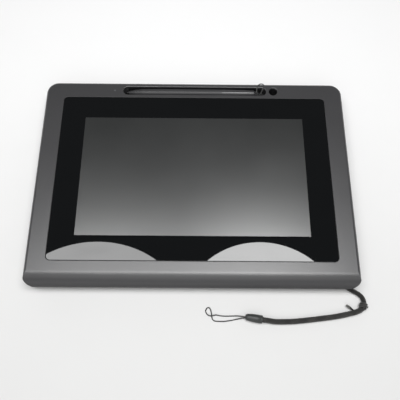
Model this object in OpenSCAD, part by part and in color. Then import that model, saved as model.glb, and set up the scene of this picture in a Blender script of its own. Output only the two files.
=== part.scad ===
// Pen display: a flat case with a cover glass, a pen in a tray and a tethering cord.
// Lies on its feet on z = 0, screen up, pen tray towards +Y, origin under the middle of the case.

/* [Case] */
// Width of the case, left to right
body_w = 310; // [300:1:340]
// Depth of the case, front edge to rear edge
body_d = 214; // [210:1:240]
// Height of the front face above the desk
body_t = 27; // [26:0.5:32]
// Radius of the rear corners of the case
corner_r = 12; // [8:0.5:14]
// Radius of the front corners of the case
front_corner_r = 7; // [6:0.5:12]
// Rounding of the side and rear edges of the front face
edge_r = 3; // [1:0.5:4]
// Radius of the rolled front edge
front_roll_r = 13; // [10:0.5:13.5]
// Radius of the rolled edge of the rear cover
rear_roll_r = 14; // [12:0.5:15]
// Height of the front shell, from its face to the parting line
front_shell_h = 13.5; // [13:0.5:14.5]
// Wall thickness of the shells
wall = 2.4; // [2:0.1:2.8]
// Thickness of the front wall of the bezel
front_wall = 2.7; // [2.2:0.1:3]
// Depth and height of the shadow groove at the parting line
seam = 0.5; // [0.3:0.1:0.8]
// Height of the locating lip above the parting line
lip_h = 2; // [1:0.5:3]
// Depth of the locating lip below the parting line
lip_root = 4; // [3:0.5:5]
// Thickness of the locating lip
lip_t = 1.2; // [0.8:0.1:1.5]
// Thickness of the stiffening ribs in the rear cover
rib_t = 1.4; // [1:0.1:1.8]
// Height of the stiffening ribs
rib_h = 3; // [2:0.1:4]

/* [Screen] */
// Width of the bezel at the left and right of the glass
bezel_side = 19.4; // [18:0.1:22]
// Width of the bezel in front of the glass
bezel_front = 22.65; // [21:0.05:26]
// Width of the black border at the left and right of the picture
border_side = 24.25; // [22:0.05:28]
// Width of the black border before and behind the picture
border_ends = 24.05; // [22:0.05:28]
// Thickness of the cover glass
glass_t = 1.8; // [1.1:0.1:2]
// Corner radius of the cover glass
glass_r = 4; // [2:0.5:8]
// Rounding of the upper edge of the cover glass
glass_edge_r = 0.4; // [0.2:0.1:0.8]
// How far the glass lies below the bezel
glass_sink = 0.4; // [0.1:0.1:0.8]
// Width of the chamfer round the screen opening
opening_chamfer = 0.3; // [0.2:0.1:0.8]
// Width of the ledge that carries the glass
ledge_w = 6.4; // [6:0.1:7]
// Thickness of that ledge
ledge_t = 2; // [1.5:0.1:2.2]
// Thickness of the wall round the screen opening
ring_wall = 1.3; // [1:0.1:1.5]
// Thickness of the bonding tape under the glass
tape_t = 0.2; // [0.1:0.1:0.4]
// Thickness of the foam gasket over the panel
gasket_t = 0.6; // [0.4:0.1:0.8]
// Distance from the picture to the foam gasket
gasket_open = 3; // [2:0.1:3.5]
// Distance from the gasket to the edge of the display module
gasket_inset = 1; // [0.5:0.1:1.5]

/* [Display module] */
// Width of the module's frame at the left and right of the picture
module_side = 7.15; // [6:0.05:8]
// Width of the module's frame before and behind the picture
module_ends = 9.85; // [8:0.05:11]
// Thickness of the module's sheet metal
sheet_t = 0.4; // [0.3:0.1:0.6]
// Corner radius of the module
module_r = 1; // [0.8:0.1:2]
// Distance from the picture to the edge of the module's front window
window_open = 1.5; // [1:0.1:2]
// Thickness of the liquid crystal cell
cell_t = 1.4; // [1:0.1:1.8]
// Thickness of the backlight guide
guide_t = 2.8; // [2:0.1:3.2]
// Radius of the locating notches in the guide's sides
guide_notch_r = 3; // [2:0.5:4]
// Distance of those notches from the middle of the guide
guide_notch_y = 40; // [30:1:50]
// Height of the rim of the rear tray of the module
rear_rim_h = 2; // [1:0.1:2.4]
// How far the digitiser board stands out at the left and right of the module
sensor_side = 6.5; // [4:0.1:8]
// How far it stands out before and behind the module
sensor_ends = 3.5; // [2:0.1:5]
// Thickness of the digitiser board
sensor_t = 0.8; // [0.6:0.1:1]
// Radius of the locating notches in the digitiser board
sensor_notch_r = 4; // [2:0.5:5]
// Thickness of the shield sheet
shield_t = 0.3; // [0.2:0.1:0.5]
// Inset of the shield sheet from the digitiser board
shield_inset = 2; // [1:0.5:4]
// Thickness of the chassis plate
chassis_t = 1; // [0.8:0.1:1.2]

/* [Boards] */
// Width of the main board
main_w = 136; // [130:1:140]
// Depth of the main board
main_d = 72; // [68:1:76]
// Distance from the middle of the case to the middle of the main board
main_y = 14; // [10:1:18]
// Board thickness
board_t = 1.6; // [1:0.1:1.6]
// Length of the standoffs between chassis and main board
standoff_len = 3.5; // [3.2:0.1:3.8]
// Room between the main board and what stands up from the rear cover
board_room = 2.4; // [2:0.1:3]
// Height of the ribbon connectors on the main board
connector_h = 2.1; // [1.5:0.1:2.4]
// Depth of the ribbon connectors
connector_d = 6; // [5:0.5:7]
// Thickness of the flat ribbons
ribbon_t = 0.3; // [0.2:0.1:0.4]
// Width of the display ribbon
lcd_ribbon_w = 32; // [24:1:36]
// Width of the digitiser ribbon
sensor_ribbon_w = 20; // [14:1:22]
// Width of the port ribbon
port_ribbon_w = 12; // [8:1:14]
// Thickness of the port board
port_t = 1.2; // [0.8:0.1:1.4]

/* [Ports and buttons] */
// Depth of the ports' middle below the front face
port_drop = 8.2; // [7.8:0.1:8.6]
// Distance of the status light from the tray
led_step = 8.8; // [8.4:0.1:10]
// Diameter of the status light
led_d = 1.3; // [0.8:0.1:2]
// Distance from the status light to the socket
usb_step = 19.6; // [18:0.1:22]
// Width of the socket
usb_w = 9; // [8:0.1:10]
// Height of the socket
usb_h = 3.2; // [2.6:0.1:3.4]
// Length of the socket
usb_len = 7.4; // [6:0.1:8]
// Thickness of the socket's shell
usb_shell = 0.4; // [0.3:0.05:0.5]
// Distance from the socket to the power button
button_step = 21; // [20:0.5:24]
// Length of the power button
button_w = 11; // [8:0.5:12]
// Height of the power button
button_h = 3.6; // [3:0.1:4]
// Travel of the power button
button_travel = 0.8; // [0.4:0.1:0.9]
// Width of the flange that keeps the power button in
button_flange = 1; // [0.6:0.1:1.4]
// Thickness of that flange
button_flange_t = 1; // [0.8:0.1:1.2]
// Distance of the security slot from the rear edge
lock_rear = 47; // [41:1:67]
// Length of the security slot
lock_len = 7; // [6:0.1:8]
// Height of the security slot
lock_h = 3; // [2.6:0.1:3.4]
// Thickness of the security slot plate
lock_t = 1.5; // [1:0.1:2]
// Width of the plate above and below the slot
lock_land = 1.5; // [1:0.1:2]
// Width of the plate at the ends of the slot
lock_end = 4; // [3:0.1:5]

/* [Pen and tray] */
// Distance from the left side of the case to the pen tray
tray_left = 80.4; // [79:0.1:83]
// Distance from the rear edge of the case to the tray
tray_rear = 4.9; // [4.6:0.1:6]
// Gap between the tray and the wall round the screen opening
tray_gap = 0.85; // [0.3:0.05:1.2]
// Wall thickness of the tray and the pen well
tray_wall = 1.2; // [0.8:0.1:1.3]
// Thickness of the tray floor
tray_floor_t = 1.4; // [1:0.1:1.6]
// Gap beside the pen in the tray
pen_side_gap = 0.5; // [0.4:0.05:0.8]
// Room under the pen in the tray
tray_room = 1.4; // [1.2:0.1:1.6]
// Rounding of the upper edge of the tray and the pen well
tray_edge_r = 0.7; // [0.3:0.1:1]
// Width of the two saddles in the tray
saddle_w = 3; // [2:0.5:5]
// Half the distance between the saddles
saddle_x = 40; // [36:1:46]
// Height of the saddles, as a distance below the pen's middle
saddle_drop = 1.2; // [0.5:0.1:2]
// Distance from the tray to the middle of the pen well
well_step = 7.5; // [7:0.1:9]
// Distance from the middle of the tray back to the middle of the pen well
well_back = 0; // [0:0.1:1]
// Gap round the pen in the pen well
well_gap = 0.2; // [0.15:0.05:0.3]
// Depth of the pen well
well_depth = 15; // [12:0.5:15]
// Diameter of the pen
pen_d = 8.4; // [8:0.1:8.6]
// Length of the pen
pen_len = 135; // [130:1:138]
// Distance from the left end of the tray to the tip of the pen
pen_gap = 3.1; // [2.6:0.1:5]
// Distance from the tail of the pen to the right end of the tray
tail_gap = 11.9; // [11:0.1:13]
// Length of the grip, from its nose to the rear barrel
grip_len = 98.5; // [94:0.1:102]
// Length of the tapered nose
nose_len = 15; // [12:1:20]
// Length of the waist behind the nose
waist_len = 20; // [15:1:25]
// Depth of the waist
waist_depth = 0.25; // [0.1:0.05:0.4]
// Diameter at the end of the nose
nose_d = 3; // [2.6:0.1:3.6]
// How far the nib stands out
nib_out = 2.2; // [1.6:0.1:3]
// Diameter of the nib
nib_d = 1.6; // [1.2:0.1:2]
// Length of the nib
nib_len = 16; // [14:0.5:18]
// Travel of the nib
nib_travel = 0.6; // [0.3:0.1:0.8]
// Length of the coil insert
core_len = 62; // [56:1:66]
// Diameter of the coil insert
core_d = 4.4; // [4:0.1:4.6]
// Taper of the rear barrel, on the radius
barrel_taper = 0.4; // [0:0.1:0.8]
// Length of the tail cap of the pen
tail_len = 8; // [7:0.5:10]
// Diameter at the end of the tail cap
tail_d = 6.8; // [6:0.1:7]
// Diameter of the eye in the lug of the tail cap
eye_d = 1.9; // [1.7:0.1:2.2]
// Distance of the eye behind the tail cap
eye_out = 2; // [1.8:0.1:2.4]
// Width of that lug
lug_w = 4.4; // [4:0.1:5]
// Thickness of that lug
lug_t = 2; // [1.6:0.1:2.4]
// Length of the side switch
switch_len = 16; // [12:0.5:18]
// Width of the side switch
switch_w = 4; // [3:0.1:4.4]
// Distance from the nose to the middle of the side switch
switch_step = 42; // [40:1:46]
// How far the side switch stands out
switch_out = 0.5; // [0.3:0.1:0.6]
// Travel of the side switch
switch_travel = 0.4; // [0.2:0.1:0.5]

/* [Legs and feet] */
// Height of the rubber feet below the rear cover
foot_h = 2; // [1.5:0.1:3]
// Diameter of the rubber feet
foot_d = 14; // [10:0.5:16]
// Chamfer of the rubber feet
foot_edge = 0.6; // [0.3:0.1:1]
// Depth of the recess that holds a foot
foot_recess = 1; // [0.6:0.1:1.2]
// Distance of the feet from the sides of the case
foot_side = 29; // [27:1:33]
// Distance of the front feet from the front edge
foot_front = 31; // [27:1:37]
// Distance of the rear feet from the rear edge
foot_rear = 25; // [23:1:31]
// Distance of the middle of a leg from the side of the case
leg_side = 60; // [58:1:64]
// Width of a leg
leg_w = 34; // [28:1:36]
// Length of a leg from its hinge to its end
leg_len = 60; // [50:1:64]
// Thickness of a leg
leg_t = 6; // [5:0.1:6.2]
// Thickness of a leg's outer skin
leg_skin = 2; // [1.5:0.1:2.5]
// Thickness of a leg's ribs
leg_rib = 3; // [2:0.1:4]
// Distance of the hinge from the rear edge
leg_rear = 29; // [27:1:31]
// How far a folded leg lies below the rear cover's surface
leg_sink = 0.3; // [0.1:0.1:0.5]
// Diameter of the hinge pins
leg_pin_d = 2.4; // [2:0.1:2.8]
// Length of pin held in the cover at each side
leg_pin_hold = 4; // [3:0.5:5]
// Length of the rubber tip on a leg
pad_len = 5; // [4:0.5:7]
// Corner radius of the rubber tip
pad_r = 4; // [2:0.5:5]
// Width of the finger notch beside a leg
notch_w = 16; // [12:1:20]
// Length of the finger notch
notch_len = 7; // [5:0.5:9]
// Wall round the pockets in the rear cover
pocket_wall = 1.6; // [1.2:0.1:2]

/* [Mounting] */
// Spacing of the arm mount inserts, both ways
mount_pitch = 75; // [75:25:100]
// Outside diameter of an insert
insert_d = 6; // [5:0.5:7]
// Core bore of an insert
insert_bore = 3.3; // [3:0.1:4]
// Depth of the groove round an insert
insert_groove = 0.4; // [0.2:0.1:0.6]
// Wall round an insert
insert_wall = 2; // [1.5:0.1:2.5]

/* [Tether] */
// Diameter of the cord
cord_d = 5.2; // [4.6:0.1:5.4]
// Diameter of the string
string_d = 1.1; // [0.8:0.1:1.3]
// Diameter of the moulded cap, cord end
cap_d = 7.6; // [7:0.1:7.8]
// Diameter of the moulded cap, string end
cap_tip_d = 5.4; // [4.8:0.1:5.8]
// Length of the moulded cap
cap_len = 16; // [14:0.5:18]
// Distance of the anchor pin from the side of the case
anchor_side = 23; // [21:0.5:25]
// Distance of the anchor pin from the front edge
anchor_front = 13.3; // [12:0.1:15]
// Diameter of the anchor pin
anchor_pin_d = 2.5; // [2:0.1:2.8]
// Length of the anchor pin
anchor_pin_len = 12.8; // [11:0.1:14]
// Diameter of the moulded eye on the anchor pin
anchor_eye_d = 6.4; // [6:0.1:6.6]
// Width of the eye along the pin
anchor_eye_w = 5; // [4:0.1:6]
// Length of the moulded eye from the pin to the cord
anchor_eye_len = 11; // [10:0.5:12]
// Height of the anchor pin above the rear cover's surface
anchor_up = 3.2; // [2.8:0.1:3.4]
// Room round the eye in its pocket
anchor_room = 1; // [0.6:0.1:1.4]
// Wall round the eye's pocket
anchor_wall = 2.4; // [2:0.1:2.8]
// Diameter of the knot
knot_d = 7.6; // [7:0.1:7.8]
// Length of the knot
knot_len = 7; // [6:0.5:8]
// Radius of the turns of the knot
knot_turn_r = 1.3; // [1:0.1:1.6]

/* [Screws] */
// Thread diameter of the case screws
case_screw_d = 2.8; // [2.4:0.1:3]
// Head diameter of the case screws
case_head_d = 5.2; // [4.6:0.1:5.6]
// Length of the case screws in the front shell
case_screw_hold = 6; // [5:0.5:8]
// Height of a case screw's seat above the rear cover's surface
case_seat_h = 5; // [4:0.5:6]
// Radius of the case screw bosses
boss_r = 3.4; // [3:0.1:3.6]
// Distance of the rear case screws from the sides
screw_side = 12; // [11:0.5:14]
// Distance of the rear case screws from the rear edge
screw_rear = 9.5; // [9:0.5:12]
// Distance of the middle case screws from the sides
screw_mid_side = 6.8; // [6.5:0.1:8]
// Distance of the front case screws from the sides
screw_front_side = 55; // [45:1:65]
// Distance of the front case screws from the front edge
screw_front = 9; // [8.5:0.5:11]
// Thread diameter of the chassis and main board screws
frame_screw_d = 2.2; // [1.8:0.1:2.4]
// Head diameter of the chassis and main board screws
frame_head_d = 4.4; // [4:0.1:4.8]
// Length of the chassis and main board screws beyond what they hold
frame_screw_hold = 3; // [2:0.1:3.4]
// Radius of the chassis screw posts
post_r = 2.6; // [2.2:0.1:2.8]
// Radius of the main board standoffs
standoff_r = 2.8; // [2.4:0.1:3.2]
// Thread diameter of the port board screws
port_screw_d = 1.8; // [1.6:0.1:2]
// Head diameter of the port board screws
port_head_d = 3.6; // [3.2:0.1:4]
// Length of the port board screws beyond the board
port_screw_hold = 3; // [2:0.1:4]
// Radius of the port board posts
port_post_r = 2.3; // [2:0.1:2.6]

/* [Clearances] */
// Gap between the glass and the bezel, and between other parts that sit side by side
fit_gap = 0.3; // [0.2:0.05:0.4]
// Gap round a hinge pin or a nib that turns or slides
run_gap = 0.05; // [0.03:0.01:0.08]
// Gap round a pin or a screw that is held fast
hold_gap = 0.04; // [0.02:0.01:0.06]
// Gap between pieces that butt end to end, and round a small key
butt_gap = 0.1; // [0.05:0.05:0.2]
// Gap round a moving leg
leg_gap = 0.5; // [0.4:0.1:0.8]
// Gap behind a leg's knuckle, which swings past the edge of its pocket
leg_back_gap = 1; // [1:0.1:1.5]
// Space past the end of a screw in its hole
screw_end_gap = 1; // [0.5:0.1:1.5]

/* [Hidden] */
$fn = 48;
over = 1;
// Keeps the round ends of a slot from meeting in one line
sliver = 0.01;
// Rounding inside the front shell where the edge's own rounding runs out
cavity_edge_r = 0.6;

// Plan of the screen, from the case inwards
pen_r = pen_d / 2;
tray_w = pen_d + 2 * pen_side_gap;
bezel_rear = tray_rear + tray_w + tray_wall + tray_gap + ring_wall + fit_gap;
glass_w = body_w - 2 * bezel_side;
glass_d = body_d - bezel_front - bezel_rear;
screen_y = (bezel_front - bezel_rear) / 2;
screen_w = glass_w - 2 * border_side;
screen_d = glass_d - 2 * border_ends;
lcd_w = screen_w + 2 * module_side;
lcd_d = screen_d + 2 * module_ends;
sensor_w = lcd_w + 2 * sensor_side;
sensor_d = lcd_d + 2 * sensor_ends;

// Heights, from the front face down and from the desk up
front_z = body_t;
rear_z = foot_h;
split_z = front_z - front_shell_h;
cavity_top = front_z - front_wall;
glass_top = front_z - glass_sink;
glass_bot = glass_top - glass_t;
ledge_top = glass_bot - tape_t;
ledge_bot = ledge_top - ledge_t;
lcd_top = glass_bot - gasket_t;
cell_top = lcd_top - sheet_t;
guide_top = cell_top - cell_t;
lcd_floor = guide_top - guide_t;
lcd_bot = lcd_floor - sheet_t;
lcd_joint = lcd_bot + rear_rim_h;
sensor_bot = lcd_bot - sensor_t;
shield_bot = sensor_bot - shield_t;
chassis_bot = shield_bot - chassis_t;
main_top = chassis_bot - standoff_len;
main_bot = main_top - board_t;
ribbon_z = main_top + connector_h;
port_z = front_z - port_drop;
port_top = port_z - usb_h / 2;
port_bot = port_top - port_t;

// Screen opening
opening_w = glass_w + 2 * fit_gap;
opening_d = glass_d + 2 * fit_gap;
opening_r = glass_r + fit_gap;
ledge_open_w = glass_w - 2 * ledge_w;
ledge_open_d = glass_d - 2 * ledge_w;
gasket_r = 2;
gasket_hole_r = 1;

// Display module
sheet_bend_r = 0.6;
cell_r = 0.5;
cell_w = lcd_w - 2 * (sheet_t + fit_gap);
cell_d = lcd_d - 2 * (sheet_t + fit_gap);
clip_pitch = 40;
clip_w = 12;
clip_h = 1.4;
sensor_r = 2;

// Chassis: screw posts in the middle of the ledge, two beads and four windows
post_corner = 24.45;
post_end = 65.6;
post_x = glass_w / 2 - ledge_w / 2;
post_y = glass_d / 2 - ledge_w / 2;
post_at = [
    for (sx = [-1, 1], sy = [-1 : 1]) [sx * post_x, screen_y + sy * (glass_d / 2 - post_corner)],
    for (sx = [-1, 1], sy = [-1, 1]) [sx * (glass_w / 2 - post_end), screen_y + sy * post_y]
];
chassis_r = 6;
bead_w = 6;
bead_side = 45.6;
bead_end = 16.55;
bead_h = chassis_bot - ribbon_z - ribbon_t - fit_gap;
window_gap = 6;
window_edge = 9.6;
window_x0 = main_w / 2 + window_gap;
window_x1 = glass_w / 2 - window_edge;
window_d = 44;
window_r = 8;
window_end = 46.45;

// Screws
case_head_h = 2;
case_seat_z = rear_z + case_seat_h;
case_screw_at = [
    for (sx = [-1, 1]) [sx * (body_w / 2 - screw_side), body_d / 2 - screw_rear],
    for (sx = [-1, 1]) [sx * (body_w / 2 - screw_mid_side), 0],
    for (sx = [-1, 1]) [sx * (body_w / 2 - screw_front_side), -(body_d / 2 - screw_front)]
];
frame_head_h = 1.4;
port_head_h = 1.2;
socket_share = 0.6;

// Main board: its screws and ribbons, and its parts as place from its middle, width, depth and height
main_r = 3;
main_screw_inset = 6;
main_screw_at = [
    for (sx = [-1, 1], sy = [-1, 1])
        [sx * (main_w / 2 - main_screw_inset), main_y + sy * (main_d / 2 - main_screw_inset)]
];
main_front_y = main_y - main_d / 2;
main_notch_x = 20;
main_notch_r = 3;
ribbon_drop = 4;
ribbon_slot = 5;
ribbon_side = 2;
slot_r = 1;
ribbon_drop_y = screen_y - sensor_d / 2 - ribbon_drop;
lcd_ribbon_x = -15;
sensor_ribbon_x = 38;
connector_inset = 1;
connector_r = 0.5;
connector_y = main_front_y + connector_inset + connector_d / 2;
port_connector_inset = 8;
port_connector_back = 10;
port_connector = [-(main_w / 2 - port_connector_inset), main_y + port_connector_back];
packages = [
    [-30, -8, 16, 16, 1.4], [-6, 8, 12, 9, 1], [-6, -8, 12, 9, 1], [22, 0, 10, 10, 1.2], [44, 8, 8, 6, 1.6]
];
package_r = 0.6;
lead_out = 0.5;
lead_t = 0.3;
lead_r = 0.2;
inductor = [44, -10, 9, 9, 2.4];
crystal = [22, 20, 11, 4.6, 2.2];

// Pen tray and well
tray_x0 = -body_w / 2 + tray_left;
tray_x1 = tray_x0 + pen_gap + pen_len + tail_gap;
tray_y = body_d / 2 - tray_rear - tray_w / 2;
tray_mid_x = (tray_x0 + tray_x1) / 2;
tray_span = tray_x1 - tray_x0;
pen_z = front_z - pen_r;
tray_floor = pen_z - pen_r - tray_room;
saddle_root = 0.2;
ramp_foot_r = 0.6;
well_d = pen_d + 2 * well_gap;
well_x = tray_x1 + well_step;
well_y = tray_y + well_back;
well_floor = front_z - well_depth;

// Port board, held under the front wall beside the status light
led_x = tray_x0 - led_step;
led_y = well_y;
led_chip = [3, 1.8, 1];
led_chip_r = 0.3;
pipe_foot_d = 3.6;
pipe_foot_h = 2;
usb_x = led_x - usb_step;
usb_back = 1;
tongue = [6, 0.7, 5];
button_x = usb_x - button_step;
socket_y = body_d / 2 - wall - fit_gap;
port_led_edge = 5;
port_button_edge = 12.4;
port_room = 1.75;
port_r = 1;
port_x0 = button_x - port_button_edge;
port_x1 = led_x + port_led_edge;
port_rear_y = socket_y - lip_t - fit_gap;
port_front_y = body_d / 2 - bezel_rear + port_room;
port_screw_step = 10.75;
port_screw_inset = 3.7;
port_screw_at = [for (sx = [-1, 1]) [usb_x + sx * port_screw_step, port_front_y + port_screw_inset]];
port_ribbon_land = 3;
button_inner_y = socket_y - button_flange_t;
button_flange_r = 1;
switch_body = [6, 3.5, 3.6];
switch_key_r = 1.2;
switch_key_len = 2;
switch_key_out = 1;
lock_y = body_d / 2 - lock_rear;
lock_r = 1;

// Pen, along +X from its tip
pen_tip_x = tray_x0 + pen_gap;
nose_x = pen_tip_x + nib_out;
grip_end_x = nose_x + grip_len;
pen_end_x = pen_tip_x + pen_len;
tail_x = pen_end_x - tail_len;
core_r = core_d / 2;
grip_bore_r = core_r + fit_gap;
core_x0 = pen_tip_x + nib_len + nib_travel + fit_gap;
coil_len = 14;
coil_groove = 0.5;
coil_groove_len = 2;
spigot_wall = 0.5;
spigot_r = grip_bore_r + spigot_wall;
spigot_len = 7;
tail_spigot_r = core_r;
tail_spigot_len = 5;
barrel_end_r = pen_r - barrel_taper;
tail_taper = 0.3;
tail_taper_len = 3;
tail_edge = 0.6;
tail_edge_len = 0.8;
nose_swell_at = 0.45;
nose_swell = 0.73;
switch_mid_x = nose_x + switch_step;
switch_floor = 0.4;
switch_floor_r = grip_bore_r + switch_floor;

// Legs and feet
leg_x = body_w / 2 - leg_side;
leg_axis_y = body_d / 2 - leg_rear;
leg_axis_z = rear_z + leg_sink + leg_t / 2;
leg_pocket_top = rear_z + leg_sink + leg_t + leg_gap;
leg_end_y = leg_axis_y - leg_len;
leg_hole_len = leg_w + 2 * leg_gap + 2 * leg_pin_hold;
leg_cut_r = 3;
foot_at = [
    for (sx = [-1, 1]) [sx * (body_w / 2 - foot_side), -(body_d / 2 - foot_front)],
    for (sx = [-1, 1]) [sx * (body_w / 2 - foot_side), body_d / 2 - foot_rear]
];

// Rear cover: arm mount inserts as long as the room under the main board lets them be, and ribs
insert_len = main_bot - board_room - pocket_wall - rear_z;
insert_boss_r = insert_d / 2 + insert_wall;
insert_at = [for (sx = [-1, 1], sy = [-1, 1]) [sx * mount_pitch / 2, sy * mount_pitch / 2]];
rib_leg_gap = 7.5;
rib_front = 45;
rib_mid = 12;
rib_x = [for (sx = [-1, 1]) sx * (leg_x - leg_hole_len / 2 - rib_leg_gap)];
rib_y = [-(body_d / 2 - rib_front), -rib_mid];

// Tether anchor: a pin across a pocket at the lower right corner, turned to the cord's way out
anchor_x = body_w / 2 - anchor_side;
anchor_y = -(body_d / 2 - anchor_front);
anchor_z = rear_z + anchor_up;
anchor_turn = -35;
anchor_pocket_w = anchor_eye_d + 2 * anchor_room;
anchor_channel_w = cord_d + 2 * anchor_room;
anchor_top = anchor_z + anchor_eye_d / 2 + anchor_room;
anchor_neck = 0.6;
anchor_sleeve = 0.4;

// Cord from the anchor eye to its cap, on the desk
cord_rings = 2;
cord_path = [
    [141, -100, 5.2], [144.3, -102.3, 5.2], [148, -104.6, 4.7], [152, -106.7, 3.8], [155.6, -108.4, 3],
    [158.7, -110.3, 2.8], [161.2, -113, 2.7], [162.4, -116.7, 2.7], [161.9, -120.5, 2.7],
    [159.8, -123.8, 2.7], [156.9, -125.6, 2.7], [152.6, -127.1, 2.7], [147, -128.5, 2.7],
    [140.5, -129.9, 2.7], [133, -131.2, 2.7], [124, -132.4, 2.7], [110, -134.1, 2.7], [95, -135.6, 2.7],
    [80, -136, 2.8], [72, -135.2, 3.3], [65.5, -134.2, 3.9]
];
cap_turn = 171.2;
cap_at = [65.5, -134.2, 3.9];
knot_at = [161.1, -120.9, 3.9];
knot_turn = -112;
tails = [[[152, -125.4, 3.2], 142, 8.2], [[162, -120.6, 3.4], -27, 4]];
tail_r = 0.7;
tail_tip_r = 1.1;
knot_pitch = 2.06;
cap_edge = 0.5;
cap_straight = 5.6;
cap_lip = 1;
cap_neck = 0.6;
cap_neck_r = 0.3;
cap_tip_edge = 0.4;

// String loop on the cap, with one crossing, on the desk
string_path = [
    [49.6, -131.8, 3.4], [46.5, -131.2, 2.4], [42, -130.8, 1], [36, -130.9, 0.6], [30, -131, 0.6],
    [26, -130.6, 0.6], [22.8, -130, 0.9], [20.4, -130.4, 1.8], [17.8, -130.9, 1.9], [15.2, -130.2, 1],
    [13.2, -128, 0.6], [13, -125.4, 0.6], [14.8, -123.3, 0.6], [17, -124.2, 0.6], [18, -127, 0.6],
    [18.4, -130, 0.6], [18.8, -133, 0.6], [20.6, -135.2, 0.6], [24, -135.8, 0.6], [30, -135.8, 0.6],
    [36, -135, 0.6], [41, -134, 1], [46, -133, 2.2], [49.4, -132.6, 3.2]
];

// String loop through the eye of the pen's tail, over the rear edge
pen_loop_path = [
    [65.5, 97.4, 23.1], [65.5, 97.5, 25.3], [65.6, 98.5, 27.1], [65.9, 100.4, 28], [66.5, 102.4, 28],
    [67.5, 104.3, 27.9], [69, 105.9, 27.6], [70.9, 106.6, 27.3], [72.6, 105.8, 27.6], [73.3, 104.1, 27.9],
    [73.1, 102.2, 28], [72.3, 100.2, 27.4], [71.3, 98.6, 25.8], [70.6, 97.7, 23.6], [70.2, 97.4, 21.4],
    [69.6, 97.4, 19.7], [67.9, 97.4, 18.8], [66.2, 97.4, 19.6], [65.5, 97.4, 21.2], [65.5, 97.4, 22.5]
];

// Rectangle with round corners
module rounded_rect(w, d, r) {
    square([w - 2 * r, d], center = true);
    square([w, d - 2 * r], center = true);
    for (sx = [-1, 1], sy = [-1, 1])
        translate([sx * (w / 2 - r), sy * (d / 2 - r)]) circle(r);
}

// Upright plate with round corners, from z0 to z1
module plate(w, d, r, z0, z1) {
    translate([0, 0, z0]) linear_extrude(z1 - z0) rounded_rect(w, d, r);
}

// Plan of the case, drawn in by inset
module case_plan(inset) {
    half = [body_w / 2 - inset, body_d / 2 - inset];
    rear_r = corner_r - inset;
    front_r = front_corner_r - inset;
    translate([rear_r - half[0], 0]) square([2 * (half[0] - rear_r), half[1]]);
    translate([front_r - half[0], -half[1]]) square([2 * (half[0] - front_r), half[1]]);
    translate([-half[0], front_r - half[1]]) square([2 * half[0], 2 * half[1] - rear_r - front_r]);
    for (sx = [-1, 1]) {
        translate([sx * (half[0] - rear_r), half[1] - rear_r]) circle(rear_r);
        translate([sx * (half[0] - front_r), front_r - half[1]]) circle(front_r);
    }
}

// Upright plate of the case's plan, drawn in by inset, from z0 to z1
module case_plate(inset, z0, z1) {
    translate([0, 0, z0]) linear_extrude(z1 - z0) case_plan(inset);
}

// Carries a profile, drawn outwards from the corner centres, round a rectangle with round corners
module carry_round(w, d, r) {
    for (turn = [0 : 3]) {
        across = turn % 2 == 0 ? w / 2 - r : d / 2 - r;
        along = turn % 2 == 0 ? d / 2 - r : w / 2 - r;
        rotate(turn * 90) {
            translate([across, along, 0]) rotate_extrude(angle = 90) children();
            if (along > sliver)
                translate([across, along, 0]) rotate([90, 0, 0]) linear_extrude(2 * along) children();
        }
    }
}

// Section from a corner's middle to a side, with its upper edge rounded by edge
module soft_side(r, z0, z1, edge) {
    difference() {
        translate([0, z0]) square([r, z1 - z0]);
        difference() {
            translate([r - edge, z1 - edge]) square(edge + over);
            translate([r - edge, z1 - edge]) circle(edge);
        }
    }
}

// Plate whose upper edges are rounded by edge
module soft_plate(w, d, r, z0, z1, edge) {
    carry_round(w, d, r) soft_side(r, z0, z1, edge);
    translate([r - w / 2, r - d / 2, z0]) cube([w - 2 * r, d - 2 * r, z1 - z0]);
}

// Plate of the case's plan, drawn in by inset, whose upper edges are rounded by edge
module soft_case(inset, z0, z1, edge) {
    rear_r = corner_r - inset;
    front_r = front_corner_r - inset;
    rear = [body_w / 2 - inset - rear_r, body_d / 2 - inset - rear_r];
    front = [body_w / 2 - inset - front_r, body_d / 2 - inset - front_r];
    for (side = [0, 1]) mirror([side, 0, 0]) {
        translate([rear[0], rear[1], 0]) rotate_extrude(angle = 90) soft_side(rear_r, z0, z1, edge);
        translate([front[0], -front[1], 0]) rotate(-90) rotate_extrude(angle = 90)
            soft_side(front_r, z0, z1, edge);
        translate([front[0], rear[1], 0]) rotate([90, 0, 0]) linear_extrude(rear[1] + front[1])
            soft_side(front_r, z0, z1, edge);
    }
    translate([-rear[0], rear[1], 0]) rotate([90, 0, 90]) linear_extrude(2 * rear[0])
        soft_side(rear_r, z0, z1, edge);
    translate([front[0], -front[1], 0]) rotate([90, 0, -90]) linear_extrude(2 * front[0])
        soft_side(front_r, z0, z1, edge);
    translate([-front[0], -front[1], z0]) cube([2 * front[0], rear[1] + front[1], z1 - z0]);
}

// Rounds the upper edge of a hole of that outline in a face at height z
module round_rim(w, d, r, z, rim) {
    carry_round(w, d, r) difference() {
        translate([r - rim, z - rim]) square([2 * rim, rim + over]);
        translate([r + rim, z - rim]) circle(rim);
        translate([r + rim, z - 2 * rim]) square([rim + over, 3 * rim]);
    }
}

// Form of the front shell, drawn in by inset, from height base to height top
module front_form(inset, base, top) {
    roll_y = -body_d / 2 + front_roll_r;
    roll_z = front_z - front_roll_r;
    intersection() {
        soft_case(inset, base, top, max(edge_r - inset, cavity_edge_r));
        translate([-body_w / 2, 0, 0]) rotate([90, 0, 90]) linear_extrude(body_w) difference() {
            translate([-body_d / 2, 0]) square([body_d, front_z]);
            difference() {
                translate([-body_d / 2 - over, roll_z]) square([front_roll_r + over, front_roll_r + over]);
                translate([roll_y, roll_z]) circle(front_roll_r - inset);
            }
        }
    }
}

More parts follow.
